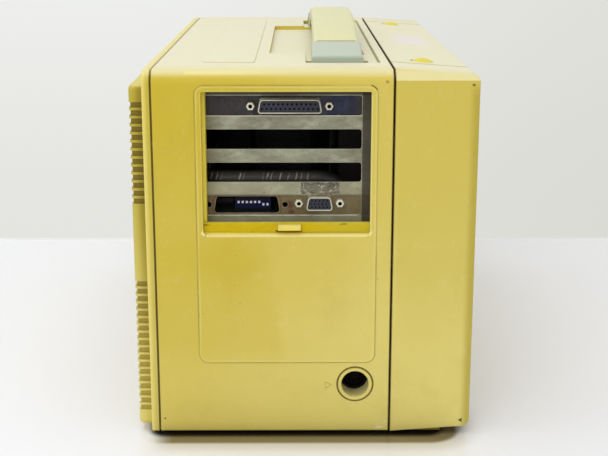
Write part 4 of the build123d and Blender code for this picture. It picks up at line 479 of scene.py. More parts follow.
def door_plastic(look):
    """Deep yellow sliding door; the finger tab is painted pale as lit, with a painted shadow under it."""
    f = Finish("door_gold", 0.5 * MM, specular=0.15)
    tab = f.x.rise(-0.1918, -0.1928)
    streak = f.cloud(30.0, 5.0, at=f.stretch((1.0, 1.0, 0.4)), seed=2.0)
    f.body = f.mix(streak * 0.6, tint(look.door), paint(190, 164, 0))
    f.coat(f.y.rise(0.0, -0.02) * 0.65, 202, 184, 44)
    # painted light on the finger tab
    f.coat(tab * 0.85, 244, 224, 110)
    # painted light on the faces that look up
    f.coat(f.faces()[2].rise(0.5, 0.95) * 0.7, 240, 228, 132)
    # painted highlight along the edges
    f.coat(f.edges() * 0.3, 240, 226, 124)
    grime = f.cloud(90.0, 5.0, 0.7, at=f.stretch((1.0, 0.6, 1.4)), seed=5.0).rise(0.52, 0.7)
    f.coat(grime * 0.25, 150, 126, 12)
    # painted shadow under the tab, and a smear near each end
    under = f.y.within(0.0012, 0.0170, 0.0008) * f.z.within(0.1298, 0.1314, 0.0003) * (1.0 - tab)
    f.coat(under * 0.8, 96, 66, 2)
    for y, z, reach in ((59.0, 134.5, 2.6), (-24.5, 135.0, 2.2), (-22.5, 134.6, 1.2)):
        away = abs(f.y - y * MM) * 0.6 + abs(f.z - z * MM) * 2.2
        f.coat(away.rise(reach * MM, 0.0) * (1.0 - tab) * 0.75, 84, 70, 14)
    return f.done(0.42 + f.cloud(90.0, 4.0) * 0.15, f.cloud(1300.0, 2.0, 0.6), 0.05 * MM, 0.3)


def galvanised(look):
    """Zinc-coated sheet: soft cloudy spangle, stains, brown specks, painted highlights on the arrises and painted
    shade beside the slots.
    """
    f = Finish("zinc_sheet", 0.5 * MM, metallic=0.15)
    cloud = f.cloud(55.0, 6.0, 0.7, at=f.stretch((1.0, 0.6, 1.5)))
    spangle = f.cloud(105.0, 3.0, 0.5, at=f.stretch((1.0, 0.55, 1.1), (0.5, 0.0, 0.0)), seed=21.0)
    f.body = f.mix(cloud.rise(0.36, 0.64), paint(122, 121, 98), tint(look.rail))
    f.coat(spangle.rise(0.52, 0.62) * 0.4, 184, 183, 160)
    f.coat(spangle.rise(0.46, 0.36) * 0.35, 116, 114, 92)
    smudge = f.cloud(120.0, 5.0, 0.75, at=f.stretch((1.0, 0.5, 1.0)), seed=13.0).rise(0.5, 0.64)
    f.coat(smudge * 0.35, 108, 104, 84)
    stain = f.cloud(34.0, 5.0, 0.7, seed=8.0).rise(0.52, 0.64)
    f.coat(stain * 0.4, 104, 100, 78)
    rear_end = (f.y + (cloud - 0.5) * 0.02).rise(0.048, 0.06)
    f.coat(rear_end * 0.35, 100, 94, 68)
    # the lowest bracket has gone brown, most of all round its holes
    f.coat(f.z.within(0.1510, 0.1590, 0.0006) * 0.35, 184, 180, 146)
    lowest = f.z.rise(0.1515, 0.1500) * f.z.rise(0.1378, 0.1384)
    f.coat(lowest * (f.cloud(60.0, 4.0, seed=11.0).rise(0.3, 0.6) * 0.4 + 0.55), 112, 94, 52)
    for y, z, reach in ((59.1, 144.3, 2.6), (8.5, 144.3, 2.6), (7.5, 139.5, 2.0)):
        away = f.math("SQRT", (f.y - y * MM) * (f.y - y * MM) + (f.z - z * MM) * (f.z - z * MM))
        f.coat(away.rise(reach * 1.3 * MM, reach * 0.6 * MM) * 0.75, 84, 46, 30)
    blank = f.outline(f.y, f.z, (0.0146, 0.1393), (0.0546, 0.1493), 0.002)
    f.coat(blank.within(0.0, 0.0012, 0.0004) * 0.6, 90, 56, 36)
    rust = f.specks(240.0, 0.16, 0.1, 1.0) + f.specks(520.0, 0.22, 0.08, 7.0)
    f.coat(rust * 0.75, 70, 54, 34)
    f.coat(f.z.rise(0.1378, 0.1362) * 0.6, 150, 146, 108)
    # painted highlight where the cut edges catch the light
    f.coat(f.edges() * 0.75, 222, 218, 196)
    # painted highlights along the lower edge of the top bracket and on the lowest bracket's foot
    lower_edge_glint = f.z.within(0.1989, 0.1995, 0.0001) * f.y.within(-0.0350, 0.0600, 0.0006)
    foot = f.z.within(0.1376, 0.1382, 0.0002) * f.y.within(-0.0330, 0.0630, 0.0006) * cloud.rise(0.4, 0.52)
    f.coat(lower_edge_glint * 0.9 + foot * 0.8, 230, 226, 206)
    # painted shade on the sheet beside and above the slots
    shade = f.y.rise(-0.0351, -0.0357) + f.z.rise(0.2115, 0.2124)
    f.coat(shade * 0.88, 44, 37, 26)
    f.feed(f.surface.inputs["Metallic"], 0.15 - shade * 0.15)
    return f.done(0.46 + cloud * 0.2, cloud * 0.5 + spangle * 0.2, 0.12 * MM, 0.5)


def blued_bracket():
    """Dark bracket: brown-black on the left, steel blue on the right."""
    f = Finish("blued_plate", 0.5 * MM, metallic=0.2, specular=0.3)
    side = (f.y + (f.cloud(40.0, 3.0) - 0.5) * 0.03).rise(-0.004, -0.018) * f.y.rise(-0.036, -0.026)
    f.body = f.mix(side, paint(54, 49, 50), paint(34, 38, 62))
    streak = f.cloud(90.0, 6.0, 0.75, at=f.stretch((1.0, 0.8, 0.5)))
    f.coat(streak.rise(0.45, 0.68) * 0.5, f.mix(side, paint(82, 79, 80), paint(70, 78, 98)))
    f.coat(f.cloud(70.0, 5.0, 0.7, seed=6.0).rise(0.5, 0.62) * 0.5, 34, 30, 34)
    f.coat(f.specks(300.0, 0.16, 0.06) * 0.6, 160, 154, 140)
    # painted highlight along the edges
    f.coat(f.edges() * 0.6, 206, 200, 180)
    return f.done(0.36 + streak * 0.22, streak, 0.05 * MM, 0.4)


def switch_plastic():
    """Option switch: painted lit blue along its sliders and painted almost black, as shade, away from them."""
    f = Finish("switch_blue", 0.15 * MM, specular=0.15)
    near = f.z.within(0.1412, 0.1458, 0.0012) * f.y.within(0.0205, 0.0425, 0.0015)
    f.body = f.mix(near, paint(3, 3, 10), paint(16, 22, 78))
    f.coat(f.cloud(220.0, 3.0) * 0.5, 6, 8, 28)
    # painted highlight along the edges
    f.coat(f.edges() * 0.3, 60, 70, 140)
    return f.done(0.4 + f.cloud(150.0, 3.0) * 0.15, f.cloud(900.0, 2.0), 0.04 * MM, 0.3)


def sheet_metal(name, colour, dark, roughness=0.38, metallic=0.85, grain=(1.0, 14.0, 1.0)):
    """Rolled or machined metal: a fine grain one way, stains and painted highlights on the edges."""
    f = Finish(name, 0.25 * MM, metallic=metallic)
    brush = f.cloud(140.0, 4.0, 0.6, at=f.stretch(grain))
    stain = f.cloud(34.0, 5.0, 0.65, seed=3.0)
    f.body = f.mix(stain.rise(0.35, 0.7) * 0.6, colour, dark)
    f.coat(brush * 0.25, dark)
    # painted highlight along the edges
    f.coat(f.edges() * 0.4, shade_of(colour, 1.5))
    f.coat(f.specks(330.0, 0.15, 0.03) * 0.5, 84, 60, 38)
    return f.done(roughness - 0.08 + brush * 0.12 + stain * 0.1, brush, 0.03 * MM, 0.4)


def circuit_board():
    """Green board with tracks, pads and a dusty film, painted almost black as shade inside the casing."""
    f = Finish("circuit_board")
    grid = f.node("ShaderNodeTexBrick", None, {"Vector": f.stretch(EVEN), "Scale": 160.0, "Mortar Size": 0.08,
                                               "Brick Width": 0.9, "Row Height": 0.25}, "Fac")
    pads = f.cells(390.0).rise(0.24, 0.18)
    f.body = f.mix(grid * 0.7, paint(30, 66, 42), paint(58, 98, 62))
    f.coat(pads * 0.5, 176, 168, 130)
    f.coat(f.cloud(30.0, 5.0) * 0.4, 84, 92, 66)
    # painted shade: inside the casing the boards are almost black
    f.coat(f.y.rise(-0.052, -0.046) * 0.85, 10, 14, 10)
    return f.done(0.36 + f.cloud(60.0, 3.0) * 0.2, pads + grid * 0.4, 0.08 * MM, 0.5)


def handle_plastic(name, colour, joint, start, end):
    """Handle moulding that changes tone where it meets the next piece, with painted shade on its flanks and painted
    highlights on its edges.
    """
    f = Finish(name, 0.4 * MM)
    away = abs(f.x)
    f.body = f.mix(f.cloud(24.0, 4.0, seed=3.0) * 0.35, colour, shade_of(colour, 0.9))
    f.coat(away.rise(start, end) * 0.8, joint)
    # painted shade on the flanks
    shaded_flank = f.faces()[2].rise(0.75, 0.2)
    f.coat(shaded_flank * 0.35, 168, 172, 132)
    # painted highlight along the edges
    f.coat(f.edges() * 0.35, 244, 242, 214)
    # painted shade at the flanks' far ends
    flank_end_shade = away.rise(end - 0.0005, end) * shaded_flank
    f.coat(flank_end_shade * 0.7, 92, 90, 60)
    f.coat(f.specks(170.0, 0.06, 0.03, 2.0) * 0.4, 96, 92, 66)
    return f.done(0.34 + f.cloud(90.0, 4.0, seed=7.0) * 0.16, f.cloud(1300.0, 2.0, 0.6), 0.05 * MM, 0.2)


def loom_sleeve(look):
    """Dark creased sleeve: pale lines where it has been kinked, painted as highlights in a lit band, and painted shade
    above, below and where it bends away.
    """
    f = Finish("kinked_sleeve", specular=0.4)
    sag = f.cloud(90.0, 3.0, seed=2.0) - 0.5
    fold = f.cloud(210.0, 4.0, 0.6, at=f.stretch((0.4, 1.0, 0.4)))
    f.body = f.mix(fold, tint(look.loom), paint(46, 42, 38))
    # painted shading across the round sleeve: dark at the top and bottom, lit in the middle
    f.coat(f.z.rise(0.160, 0.1636) * 0.3, 100, 96, 88)
    f.coat(f.z.rise(0.1612, 0.1630) * 0.7 + f.z.rise(0.1568, 0.1545) * 0.6, 22, 20, 18)
    lean = f.y + sag * 0.003 + (f.z - 0.160) * 0.25
    # the creases are painted as highlights only in the lit middle band
    lit = f.z.within(0.1580, 0.1618, 0.0008)
    # place, half width and strength of each crease, in mm
    for at, width, share in ((59.8, 0.45, 0.55), (56.4, 0.4, 0.8), (53.0, 0.4, 0.7), (50.4, 0.35, 0.5),
                             (38.9, 0.5, 0.85), (36.6, 0.35, 0.4), (24.6, 0.35, 0.7), (21.9, 0.5, 0.85),
                             (19.5, 0.35, 0.6), (14.0, 0.4, 0.9), (9.4, 0.4, 0.6), (4.6, 0.45, 0.85),
                             (1.4, 0.35, 0.5), (-2.6, 0.4, 0.7)):
        near = lean.within((at - width) * MM, (at + width) * MM, 0.25 * MM)
        broken = f.cloud(160.0, 3.0, seed=at).rise(0.34, 0.5)
        f.coat(near * broken * lit * share * 0.75, 176, 172, 156)
    # painted shade where the sleeve bends away towards -y
    f.coat(f.y.rise(0.001, -0.017) * 0.85, 12, 10, 9)
    return f.done(0.42 + fold * 0.2, fold, 0.5 * MM, 0.6)


def torn_foil(look):
    """Crumpled silver remnant: grey-brown, hatched dark, with a few thin bright folds as painted highlights and
    painted shade beside them.
    """
    f = Finish("torn_foil", metallic=0.15)
    broad = f.cloud(120.0, 3.0, 0.55, at=f.stretch((1.0, 0.6, 1.0), (0.5, 0.0, 0.0)), seed=6.0)
    fine = f.cloud(420.0, 5.0, 0.75, at=f.stretch((1.0, 0.6, 1.3)))
    f.body = f.mix(fine.rise(0.35, 0.65), paint(96, 92, 76), tint(look.foil))
    f.coat((fine + (f.z - 0.1548) * 40.0).rise(0.56, 0.66) * 0.75, 46, 42, 32)
    # painted highlights along the folds and painted shade along dark folds near them
    fold = 1.0 - abs(broad - 0.5).rise(0.003, 0.012)
    fold_shade_line = 1.0 - abs(broad - 0.43).rise(0.005, 0.02)
    f.coat(fold_shade_line * 0.6, 52, 48, 38)
    f.coat(fold * fine.rise(0.44, 0.52) * 0.75, 200, 196, 178)
    return f.done(0.36 + fine * 0.25, fine + broad, 0.5 * MM, 0.8)


def rubber(name, colour):
    """Dull rubber with dust in its pores."""
    f = Finish(name, 0.5 * MM)
    f.body = f.mix(f.cloud(60.0, 5.0), colour, shade_of(colour, 1.7))
    f.coat(f.cloud(300.0, 5.0, 0.7).rise(0.55, 0.75) * 0.35, 104, 98, 84)
    return f.done(0.7 + f.cloud(120.0, 3.0) * 0.2, f.cloud(900.0, 3.0), 0.1 * MM, 0.5)


def screen_glass():
    """Dark filter glass with faint smears and dust."""
    f = Finish("filter_glass", specular=0.6)
    smear = f.cloud(26.0, 5.0, 0.7, at=f.stretch((1.0, 1.0, 2.2), (0.0, 0.5, 0.0)))
    dust = f.specks(480.0, 0.12, 0.05)
    edge = abs(f.x - 0.058).rise(0.096, 0.109)    # the glass is off centre
    f.body = f.mix(smear, paint(26, 20, 16), paint(38, 30, 22))
    f.coat(edge * 0.5, 14, 12, 11)
    f.coat(dust * 0.35, 160, 154, 140)
    return f.done(0.05 + smear.rise(0.45, 0.8) * 0.16 + dust * 0.4, dust, 0.02 * MM, 0.3)


def lamp_lens(name, colour):
    """Small tinted lens with moulded rings."""
    f = Finish(name)
    rings = f.cells(1400.0)
    f.body = f.mix(rings * 0.5, colour, shade_of(colour, 0.4))
    return f.done(0.12 + rings * 0.2, rings, 0.1 * MM, 0.4)


def dark_pit():
    """The bottom of a hole, painted near black as shade."""
    f = Finish("contact_pit", specular=0.1)
    f.body = f.mix(f.cloud(900.0, 2.0), paint(8, 8, 8), paint(20, 18, 16))
    return f.done(0.85 + f.cloud(400.0, 2.0) * 0.1)


def build_finishes(scene):
    """Every material, by the name of the finish."""
    casing, handle, port, keys = scene.casing_look, scene.handle_look, scene.port_look, scene.key_look
    made = {
        "casing": casing_plastic(casing), "panel": panel_plastic(casing), "vent": vent_plastic(casing),
        "door": door_plastic(casing), "switch": switch_plastic(), "rail": galvanised(port),
        "blued": blued_bracket(), "board": circuit_board(), "loom": loom_sleeve(port), "foil": torn_foil(port),
        "rubber": rubber("black_rubber", paint(34, 33, 31)), "glass": screen_glass(), "pit": dark_pit(),
        "lamp": lamp_lens("drive_lamp_lens", paint(132, 20, 16)),
        "grip": handle_plastic("handle_grip_plastic", tint(handle.grip), paint(224, 214, 120), 0.1185, 0.1215),
        "cap": handle_plastic("handle_cap_plastic", tint(handle.cap), paint(110, 126, 118), 0.1512, 0.1527),
    }
    # key, name, colour, worn colour, roughness, edge radius in mm, then grain, dust and specular where they differ
    for key, name, colour, worn, rough, radius, *rest in (
            ("button", "button_plastic", paint(216, 200, 52), (230, 218, 104), 0.42, 0.5, 0.3, 0.2, 0.3),
            ("pointer", "pointer_gold", paint(176, 156, 76), (202, 184, 100), 0.45, 0.1, 0.3, 0.2, 0.3),
            ("inner", "inner_plastic", tint(casing.inner), (226, 216, 180), 0.46, 0.6),
            ("socket", "socket_black", paint(8, 4, 4), (20, 13, 11), 0.6, 0.15, 0.15, 0.1, 0.1),
            ("dark", "black_moulding", paint(38, 36, 34), (74, 70, 64), 0.48, 0.3),
            ("black", "connector_insert", paint(44, 46, 54), (64, 66, 74), 0.55, 0.15, 0.15, 0.2, 0.25),
            ("white", "slider_white", paint(226, 230, 234), (246, 246, 246), 0.4, 0.12, 0.15, 0.1),
            ("lip", "handle_lip_plastic", tint(handle.lip), (150, 164, 154), 0.42, 0.3, 0.2, 0.2),
            ("key_light", "key_letter_plastic", tint(keys.light), (232, 226, 206), 0.5, 0.2),
            ("key_dark", "key_function_plastic", tint(keys.dark), (180, 176, 160), 0.5, 0.2)):
        made[key] = plain_plastic(name, colour, paint(*worn), rough, radius * MM, *rest)
    # key, name, colour, stain, then roughness, metallic and grain where they differ
    for key, name, colour, dark, *rest in (
            ("steel", "leg_steel", paint(150, 148, 140), (98, 96, 88)),
            # the chassis steel is dark: painted shade inside the casing
            ("chassis", "chassis_steel", paint(62, 60, 55), (34, 32, 29), 0.5, 0.5),
            ("plated", "plated_steel", tint(port.shell), (148, 140, 118), 0.34, 0.35, EVEN),
            ("cast", "cast_metal", paint(78, 79, 82), (46, 47, 50), 0.6, 0.5, EVEN),
            ("brass", "contact_metal", paint(196, 178, 128), (130, 112, 70), 0.3, 0.9)):
        made[key] = sheet_metal(name, colour, paint(*dark), *rest)
    return made


FINISHES = {}

NODES_BY_FINISH = {
    "casing": "main_casing base_plate socket_shroud door_guide_frame keyboard_shell keyboard_back "
              "keyboard_foot_left keyboard_foot_right",
    "rubber": "rubber_feet",
    "plated": "casing_screws parallel_connector video_connector card_screws",
    "panel": "rear_panel",
    "vent": "rear_vent_block",
    "chassis": "chassis_frame power_supply",
    "rail": "slot_frame socket_plate video_bracket",
    "blued": "parallel_bracket",
    "board": "card_boards riser_board main_board control_board",
    "dark": "board_chips power_inlet power_rocker fan_frame fan_rotor floppy_bezel floppy_lever "
            "display_panel speaker brightness_knob contrast_knob keyboard_switch_plate",
    "switch": "dip_switch_block",
    "white": "dip_sliders_up dip_sliders_down",
    "cast": "floppy_drive hard_drive",
    "loom": "wiring_loom",
    "socket": "keyboard_socket",
    "door": "port_door",
    "inner": "front_bezel keyboard_deck",
    "glass": "display_glass",
    "steel": "latch_strikes handle_legs handle_guides keyboard_fixings",
    "grip": "handle_grip",
    "cap": "handle_end_caps",
    "key_light": "keycaps_main space_bar",
    "key_dark": "keycaps_function",
    "button": "latch_button_left latch_button_right",
}


# ---- mesh helpers ---------------------------------------------------------
def to_data(mesh, name):
    """Turns a bmesh into smooth mesh data and frees it."""
    data = bpy.data.meshes.new(name)
    mesh.to_mesh(data)
    mesh.free()
    for polygon in data.polygons:
        polygon.use_smooth = True
    return data


def put(mesh, name, body, finishes, replaced=(), flat=35.0):
    """Turns a bmesh into a piece that rides on a body; edges sharper than flat degrees stay hard."""
    data = to_data(mesh, name)
    data.set_sharp_from_angle(angle=math.radians(flat))
    for finish in finishes:
        data.materials.append(FINISHES[finish])
    piece = bpy.data.objects.new(name, data)
    bpy.context.scene.collection.objects.link(piece)
    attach(piece, body)
    if replaced:
        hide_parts(*replaced)


def box_in(mesh, low, high):
    """Adds a box between two corners and returns its vertices."""
    low, high = Vector(low), Vector(high)
    made = bmesh.ops.create_cube(mesh, size=1.0)["verts"]
    bmesh.ops.scale(mesh, vec=high - low, verts=made)
    bmesh.ops.translate(mesh, vec=(low + high) / 2, verts=made)
    return made


def edges_of(verts):
    """The edges with both ends among the vertices."""
    chosen = set(verts)
    return [e for e in {e for v in verts for e in v.link_edges} if set(e.verts) <= chosen]


def faces_of(verts):
    """The faces with every corner among the vertices."""
    chosen = set(verts)
    return [f for f in {f for v in verts for f in v.link_faces} if set(f.verts) <= chosen]


def verts_in(geom):
    return [g for g in geom if isinstance(g, bmesh.types.BMVert)]


def edges_in(geom):
    return [g for g in geom if isinstance(g, bmesh.types.BMEdge)]


def end_face(faces, axis, pick):
    """The face that lies lowest (min) or highest (max) along an axis."""
    return pick(faces, key=lambda face: face.calc_center_median()[axis])


def fill_slot(faces, slot):
    """Gives faces one of their piece's finishes."""
    for face in faces:
        face.material_index = slot


def soften(mesh, geom, reach, segments=2, kind="EDGES"):
    """Rounds edges, or corners, by a reach in metres."""
    return bmesh.ops.bevel(mesh, geom=geom, offset=reach, offset_type="OFFSET", segments=segments, profile=0.5,
                           affect=kind, clamp_overlap=True, material=-1)


def soft_box(mesh, low, high, reach, segments=2):
    """Adds a box with rounded edges."""
    soften(mesh, edges_of(box_in(mesh, low, high)), reach, segments)


def rod_in(mesh, start, end, radius, sides=24):
    """Adds a capped rod between two points and returns its vertices."""
    start, end = Vector(start), Vector(end)
    along = end - start
    made = bmesh.ops.create_cone(mesh, cap_ends=True, segments=sides, radius1=radius, radius2=radius,
                                 depth=along.length)["verts"]
    turn = along.to_track_quat("Z", "Y").to_matrix()
    bmesh.ops.rotate(mesh, cent=(0, 0, 0), matrix=turn, verts=made)
    bmesh.ops.translate(mesh, vec=(start + end) / 2, verts=made)
    return made


def islands(node):
    """(low, high) corners of each separate solid in a CAD node."""
    mesh = bmesh.new()
    mesh.from_mesh(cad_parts[node].data)
    bmesh.ops.remove_doubles(mesh, verts=mesh.verts, dist=1e-6)
    left = set(mesh.verts)
    found = []
    while left:
        seed = left.pop()
        group, stack = [seed], [seed]
        while stack:
            for edge in stack.pop().link_edges:
                for v in edge.verts:
                    if v in left:
                        left.remove(v)
                        group.append(v)
                        stack.append(v)
        low = Vector([min(v.co[k] for v in group) for k in range(3)])
        high = Vector([max(v.co[k] for v in group) for k in range(3)])
        found.append((low, high))
    mesh.free()
    return sorted(found, key=lambda b: (round(b[0].x, 5), round(b[0].y, 5), round(b[0].z, 5)))


# ---- operators ------------------------------------------------------------
class LUGGABLE_OT_finishes(Operator):
    """Make the materials and give each solid part its own"""

    bl_idname = "luggable.finishes"
    bl_label = "Finishes"

    def execute(self, context):
        FINISHES.update(build_finishes(context.scene))
        for finish, nodes in NODES_BY_FINISH.items():
            for node in nodes.split():
                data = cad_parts[node].data
                data.materials.clear()
                data.materials.append(FINISHES[finish])
        return {"FINISHED"}


class LUGGABLE_OT_handle(Operator):
    """Grip, end caps and dark lips of the carry handle, on one low arch"""

    bl_idname = "luggable.handle"
    bl_label = "Carry handle"

    def execute(self, context):
        look = context.scene.handle_look
        low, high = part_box("handle_grip")
        near, far = islands("handle_end_caps")
        self.join, self.end, self.foot, self.top = high.x, far[1].x, near[0].z, high.z
        drop = self.top - (CASING_TOP + 3.0 * MM)
        self.upper_radius = (self.end ** 2 + drop ** 2) / (2 * drop)
        lip = self.end - look.lip_length
        under_end, under_top = self.foot - 2.1 * MM, self.top - 8.5 * MM
        self.under_top = under_top
        self.under_radius = (self.join ** 2 + (under_top - under_end) ** 2) / (2 * (under_top - under_end))
        self.length((-self.join, self.join), (low.y, high.y), 40, 0.0, look.edge, "handle_grip_moulding",
                    "grip", "handle_plastic", ("handle_grip",))
        wide = (near[0].y, near[1].y)
        for side, word in ((-1, "port_end"), (1, "drive_end")):
            self.length(sorted((side * self.join, side * lip)), wide, 10, 0.3 * MM, look.edge * 0.6,
                        "handle_cap_" + word, "cap", "cap_plastic", ("handle_end_caps",) if side == 1 else ())
            self.length(sorted((side * lip, side * self.end)), wide, 2, 0.0, look.edge * 0.5, "handle_lip_" + word,
                        "lip", "cap_plastic", ())
        return {"FINISHED"}

    def upper(self, x):
        """Height of the handle's upper arc."""
        return self.top - self.upper_radius + math.sqrt(self.upper_radius ** 2 - x ** 2)

    def under(self, x):
        """Height of its underside: flat under the caps, arched between them."""
        if abs(x) >= self.join:
            return self.foot
        return max(self.under_top - self.under_radius + math.sqrt(self.under_radius ** 2 - x ** 2), self.foot)

    def length(self, xs, ys, cuts, lower, edge, name, finish, slot, replaced):
        """One stretch of the handle: a box bent to both arcs, its long upper edges rounded."""
        mesh = bmesh.new()
        box_in(mesh, (xs[0], ys[0] + lower, 0.0), (xs[1], ys[1] - lower, 1.0))
        runs = [e for e in mesh.edges if abs(e.verts[0].co.x - e.verts[1].co.x) > 1e-6]
        bmesh.ops.subdivide_edges(mesh, edges=runs, cuts=cuts, use_grid_fill=True)
        uppers = set()
        for v in mesh.verts:
            if v.co.z > 0.5:
                v.co.z = self.upper(v.co.x) - lower
                uppers.add(v)
            else:
                v.co.z = self.under(v.co.x)
        mesh.normal_update()
        rims = [e for e in mesh.edges if set(e.verts) <= uppers and len(e.link_faces) == 2
                and e.link_faces[0].normal.angle(e.link_faces[1].normal, 0) > 0.6]
        runs = [e for e in rims if abs(e.verts[0].co.x - e.verts[1].co.x) > 1e-6]
        soften(mesh, runs, edge, 4)
        mesh.normal_update()
        put(mesh, name, "handle", [finish], replaced)


def d_ring(mesh, centre, front, width, height, slant):
    """Adds a rounded D-shaped face at x = front, widest at the bottom, and returns it."""
    made = bmesh.ops.create_grid(mesh, x_segments=1, y_segments=1, size=0.5)["verts"]
    for v in made:
        across, up = v.co.x, v.co.y
        pull = slant if up > 0 else 0.0
        v.co = Vector((front, centre.y + across * 2 * (width / 2 - pull), centre.z + up * height))
    face = faces_of(made)[0]
    soften(mesh, list(face.verts), height * 0.24, 5, "VERTICES")
    mesh.faces.ensure_lookup_table()
    flat = [f for f in mesh.faces if all(abs(v.co.x - front) < 1e-7 for v in f.verts)]
    face = max(flat, key=lambda f: len(f.verts))
    if face.normal.x > 0:
        face.normal_flip()
    return face


def inset(mesh, face, thickness, depth=0.0):
    """Insets one face; a positive depth raises it."""
    bmesh.ops.inset_region(mesh, faces=[face], thickness=thickness, depth=depth)


def pull_out(mesh, face, move):
    """Extrudes one face and returns the moved face."""
    made = bmesh.ops.extrude_face_region(mesh, geom=[face])["geom"]
    bmesh.ops.translate(mesh, vec=move, verts=verts_in(made))
    if face.is_valid:
        bmesh.ops.delete(mesh, geom=[face], context="FACES_ONLY")
    return [g for g in made if isinstance(g, bmesh.types.BMFace)][0]


class LUGGABLE_OT_connectors(Operator):
    """Plated shells, inserts and contacts of the two card connectors"""

    bl_idname = "luggable.connectors"
    bl_label = "Card connectors"

    def execute(self, context):
        pitch = context.scene.port_look.contact_pitch
        wide = [[(k - (count - 1) / 2) * pitch for k in range(count)] for count in (12, 13)]
        dense = [[(k - start) * DENSE_PITCH for k in range(5)] for start in (2.0, 2.25, 2.0)]
        for name, rows, gap, hole in (("parallel", wide, 2.84 * MM, 0.8 * MM), ("video", dense, 1.98 * MM, 0.6 * MM)):
            (low, high), insert = islands(name + "_connector")[:2]
            centre = (low + high) / 2
            width = insert[1].y - insert[0].y - 2 * MM
            self.shell(name, low, high, centre, width)
            self.insert(name, low.x, centre, insert, width - 1.5 * MM)
            self.contacts(name, low.x, centre, rows, gap, hole)
        return {"FINISHED"}

    def shell(self, name, low, high, centre, width):
        """Drawn shell with a rolled rim, and its flange behind the bracket."""
        mesh = bmesh.new()
        root = high.x - 2.9 * MM
        face = d_ring(mesh, centre, root, width, SHELL_HEIGHT, SHELL_SLANT)
        face = pull_out(mesh, face, (low.x + 0.25 * MM - root, 0, 0))
        for thickness, depth in ((0.2, 0.25), (0.35, 0.0), (0.15, -0.25)):
            inset(mesh, face, thickness * MM, depth * MM)
        pull_out(mesh, face, (4.0 * MM, 0, 0))
        soft_box(mesh, (high.x - 2.0 * MM, low.y, low.z), (high.x - 1.0 * MM, high.y, high.z), 0.3 * MM)
        mesh.normal_update()
        put(mesh, name + "_shell", "casing", ["plated"], (name + "_connector",))

    def insert(self, name, front, centre, box, width):
        """The moulding inside the shell and its body behind."""
        mesh = bmesh.new()
        face = d_ring(mesh, centre, front + 4.6 * MM, width, SHELL_HEIGHT - 1.5 * MM, SHELL_SLANT * 0.86)
        inset(mesh, pull_out(mesh, face, (-3.9 * MM, 0, 0)), 0.25 * MM, 0.12 * MM)
        low, high = box
        soft_box(mesh, (low.x + 8.7 * MM, low.y, low.z), high, 0.4 * MM)
        mesh.normal_update()
        put(mesh, name + "_insert", "casing", ["black"])

    def contacts(self, name, front, centre, rows, gap, hole):
        """A raised collar round each contact hole."""
        mesh = bmesh.new()
        face_x = front + 0.7 * MM - 0.12 * MM
        middle = (len(rows) - 1) / 2
        for k, row in enumerate(rows):
            z = centre.z + (middle - k) * gap
            for across in row:
                y = centre.y - across
                made = rod_in(mesh, (face_x - 0.1 * MM, y, z), (face_x + 0.3 * MM, y, z), hole, 10)
                cap = end_face(faces_of(made), 0, min)
                inset(mesh, cap, hole * 0.16, -0.06 * MM)
                cap.material_index = 1
        put(mesh, name + "_contacts", "casing", ["black", "pit"])


class LUGGABLE_OT_jackscrews(Operator):
    """Hexagon standoffs with threaded holes, and the bracket screws"""

    bl_idname = "luggable.jackscrews"
    bl_label = "Jackscrews"

    def execute(self, context):
        mesh = bmesh.new()
        for low, high in islands("card_screws"):
            if high.x - low.x > 6 * MM:
                self.standoff(mesh, low, high)
            else:
                x, _, z = (low + high) / 2
                rod_in(mesh, (x, low.y, z), (x, high.y - 1.4 * MM, z), SHANK, 16)
                head = rod_in(mesh, (x, high.y - 1.6 * MM, z), (x, high.y, z), HEAD)
                soften(mesh, list(end_face(faces_of(head), 1, max).edges), 0.6 * MM, 3)
        put(mesh, "card_jackscrews", "casing", ["plated", "pit"], ("card_screws",))
        return {"FINISHED"}

    def standoff(self, mesh, low, high):
        """A hexagon with a threaded hole in front and a plain shank behind."""
        y, z = (low.y + high.y) / 2, (low.z + high.z) / 2
        base = low.x + 4.6 * MM
        made = rod_in(mesh, (base, y, z), (low.x, y, z), max(high.y - low.y, high.z - low.z) / 2, 12)
        # pull every second corner in to the flats of the hexagon
        flat = 0.866
        for v in made:
            turn = math.degrees(math.atan2(v.co.z - z, v.co.y - y)) % 60.0
            if abs(turn - 30.0) < 10.0:
                v.co.y = y + (v.co.y - y) * flat
                v.co.z = z + (v.co.z - z) * flat
        soften(mesh, list(end_face(faces_of(made), 0, min).edges), 0.35 * MM, 2)
        mesh.faces.ensure_lookup_table()
        caps = [f for f in mesh.faces if len(f.verts) >= 10 and abs(f.calc_center_median().y - y) < 0.3 * MM
                and abs(f.calc_center_median().z - z) < 0.3 * MM]
        front = end_face(caps, 0, min)
        inset(mesh, front, 0.45 * MM)
        # round the mouth of the threaded hole
        for v in front.verts:
            out = Vector((0.0, v.co.y - y, v.co.z - z)).normalized()
            v.co = Vector((v.co.x, y, z)) + out * 1.35 * MM
        inset(mesh, front, 0.2 * MM, -0.25 * MM)
        hole = pull_out(mesh, front, (3.2 * MM, 0, 0))
        fill_slot([hole] + [wall for edge in hole.edges for wall in edge.link_faces], 1)
        rod_in(mesh, (base, y, z), (high.x, y, z), 1.55 * MM, 14)


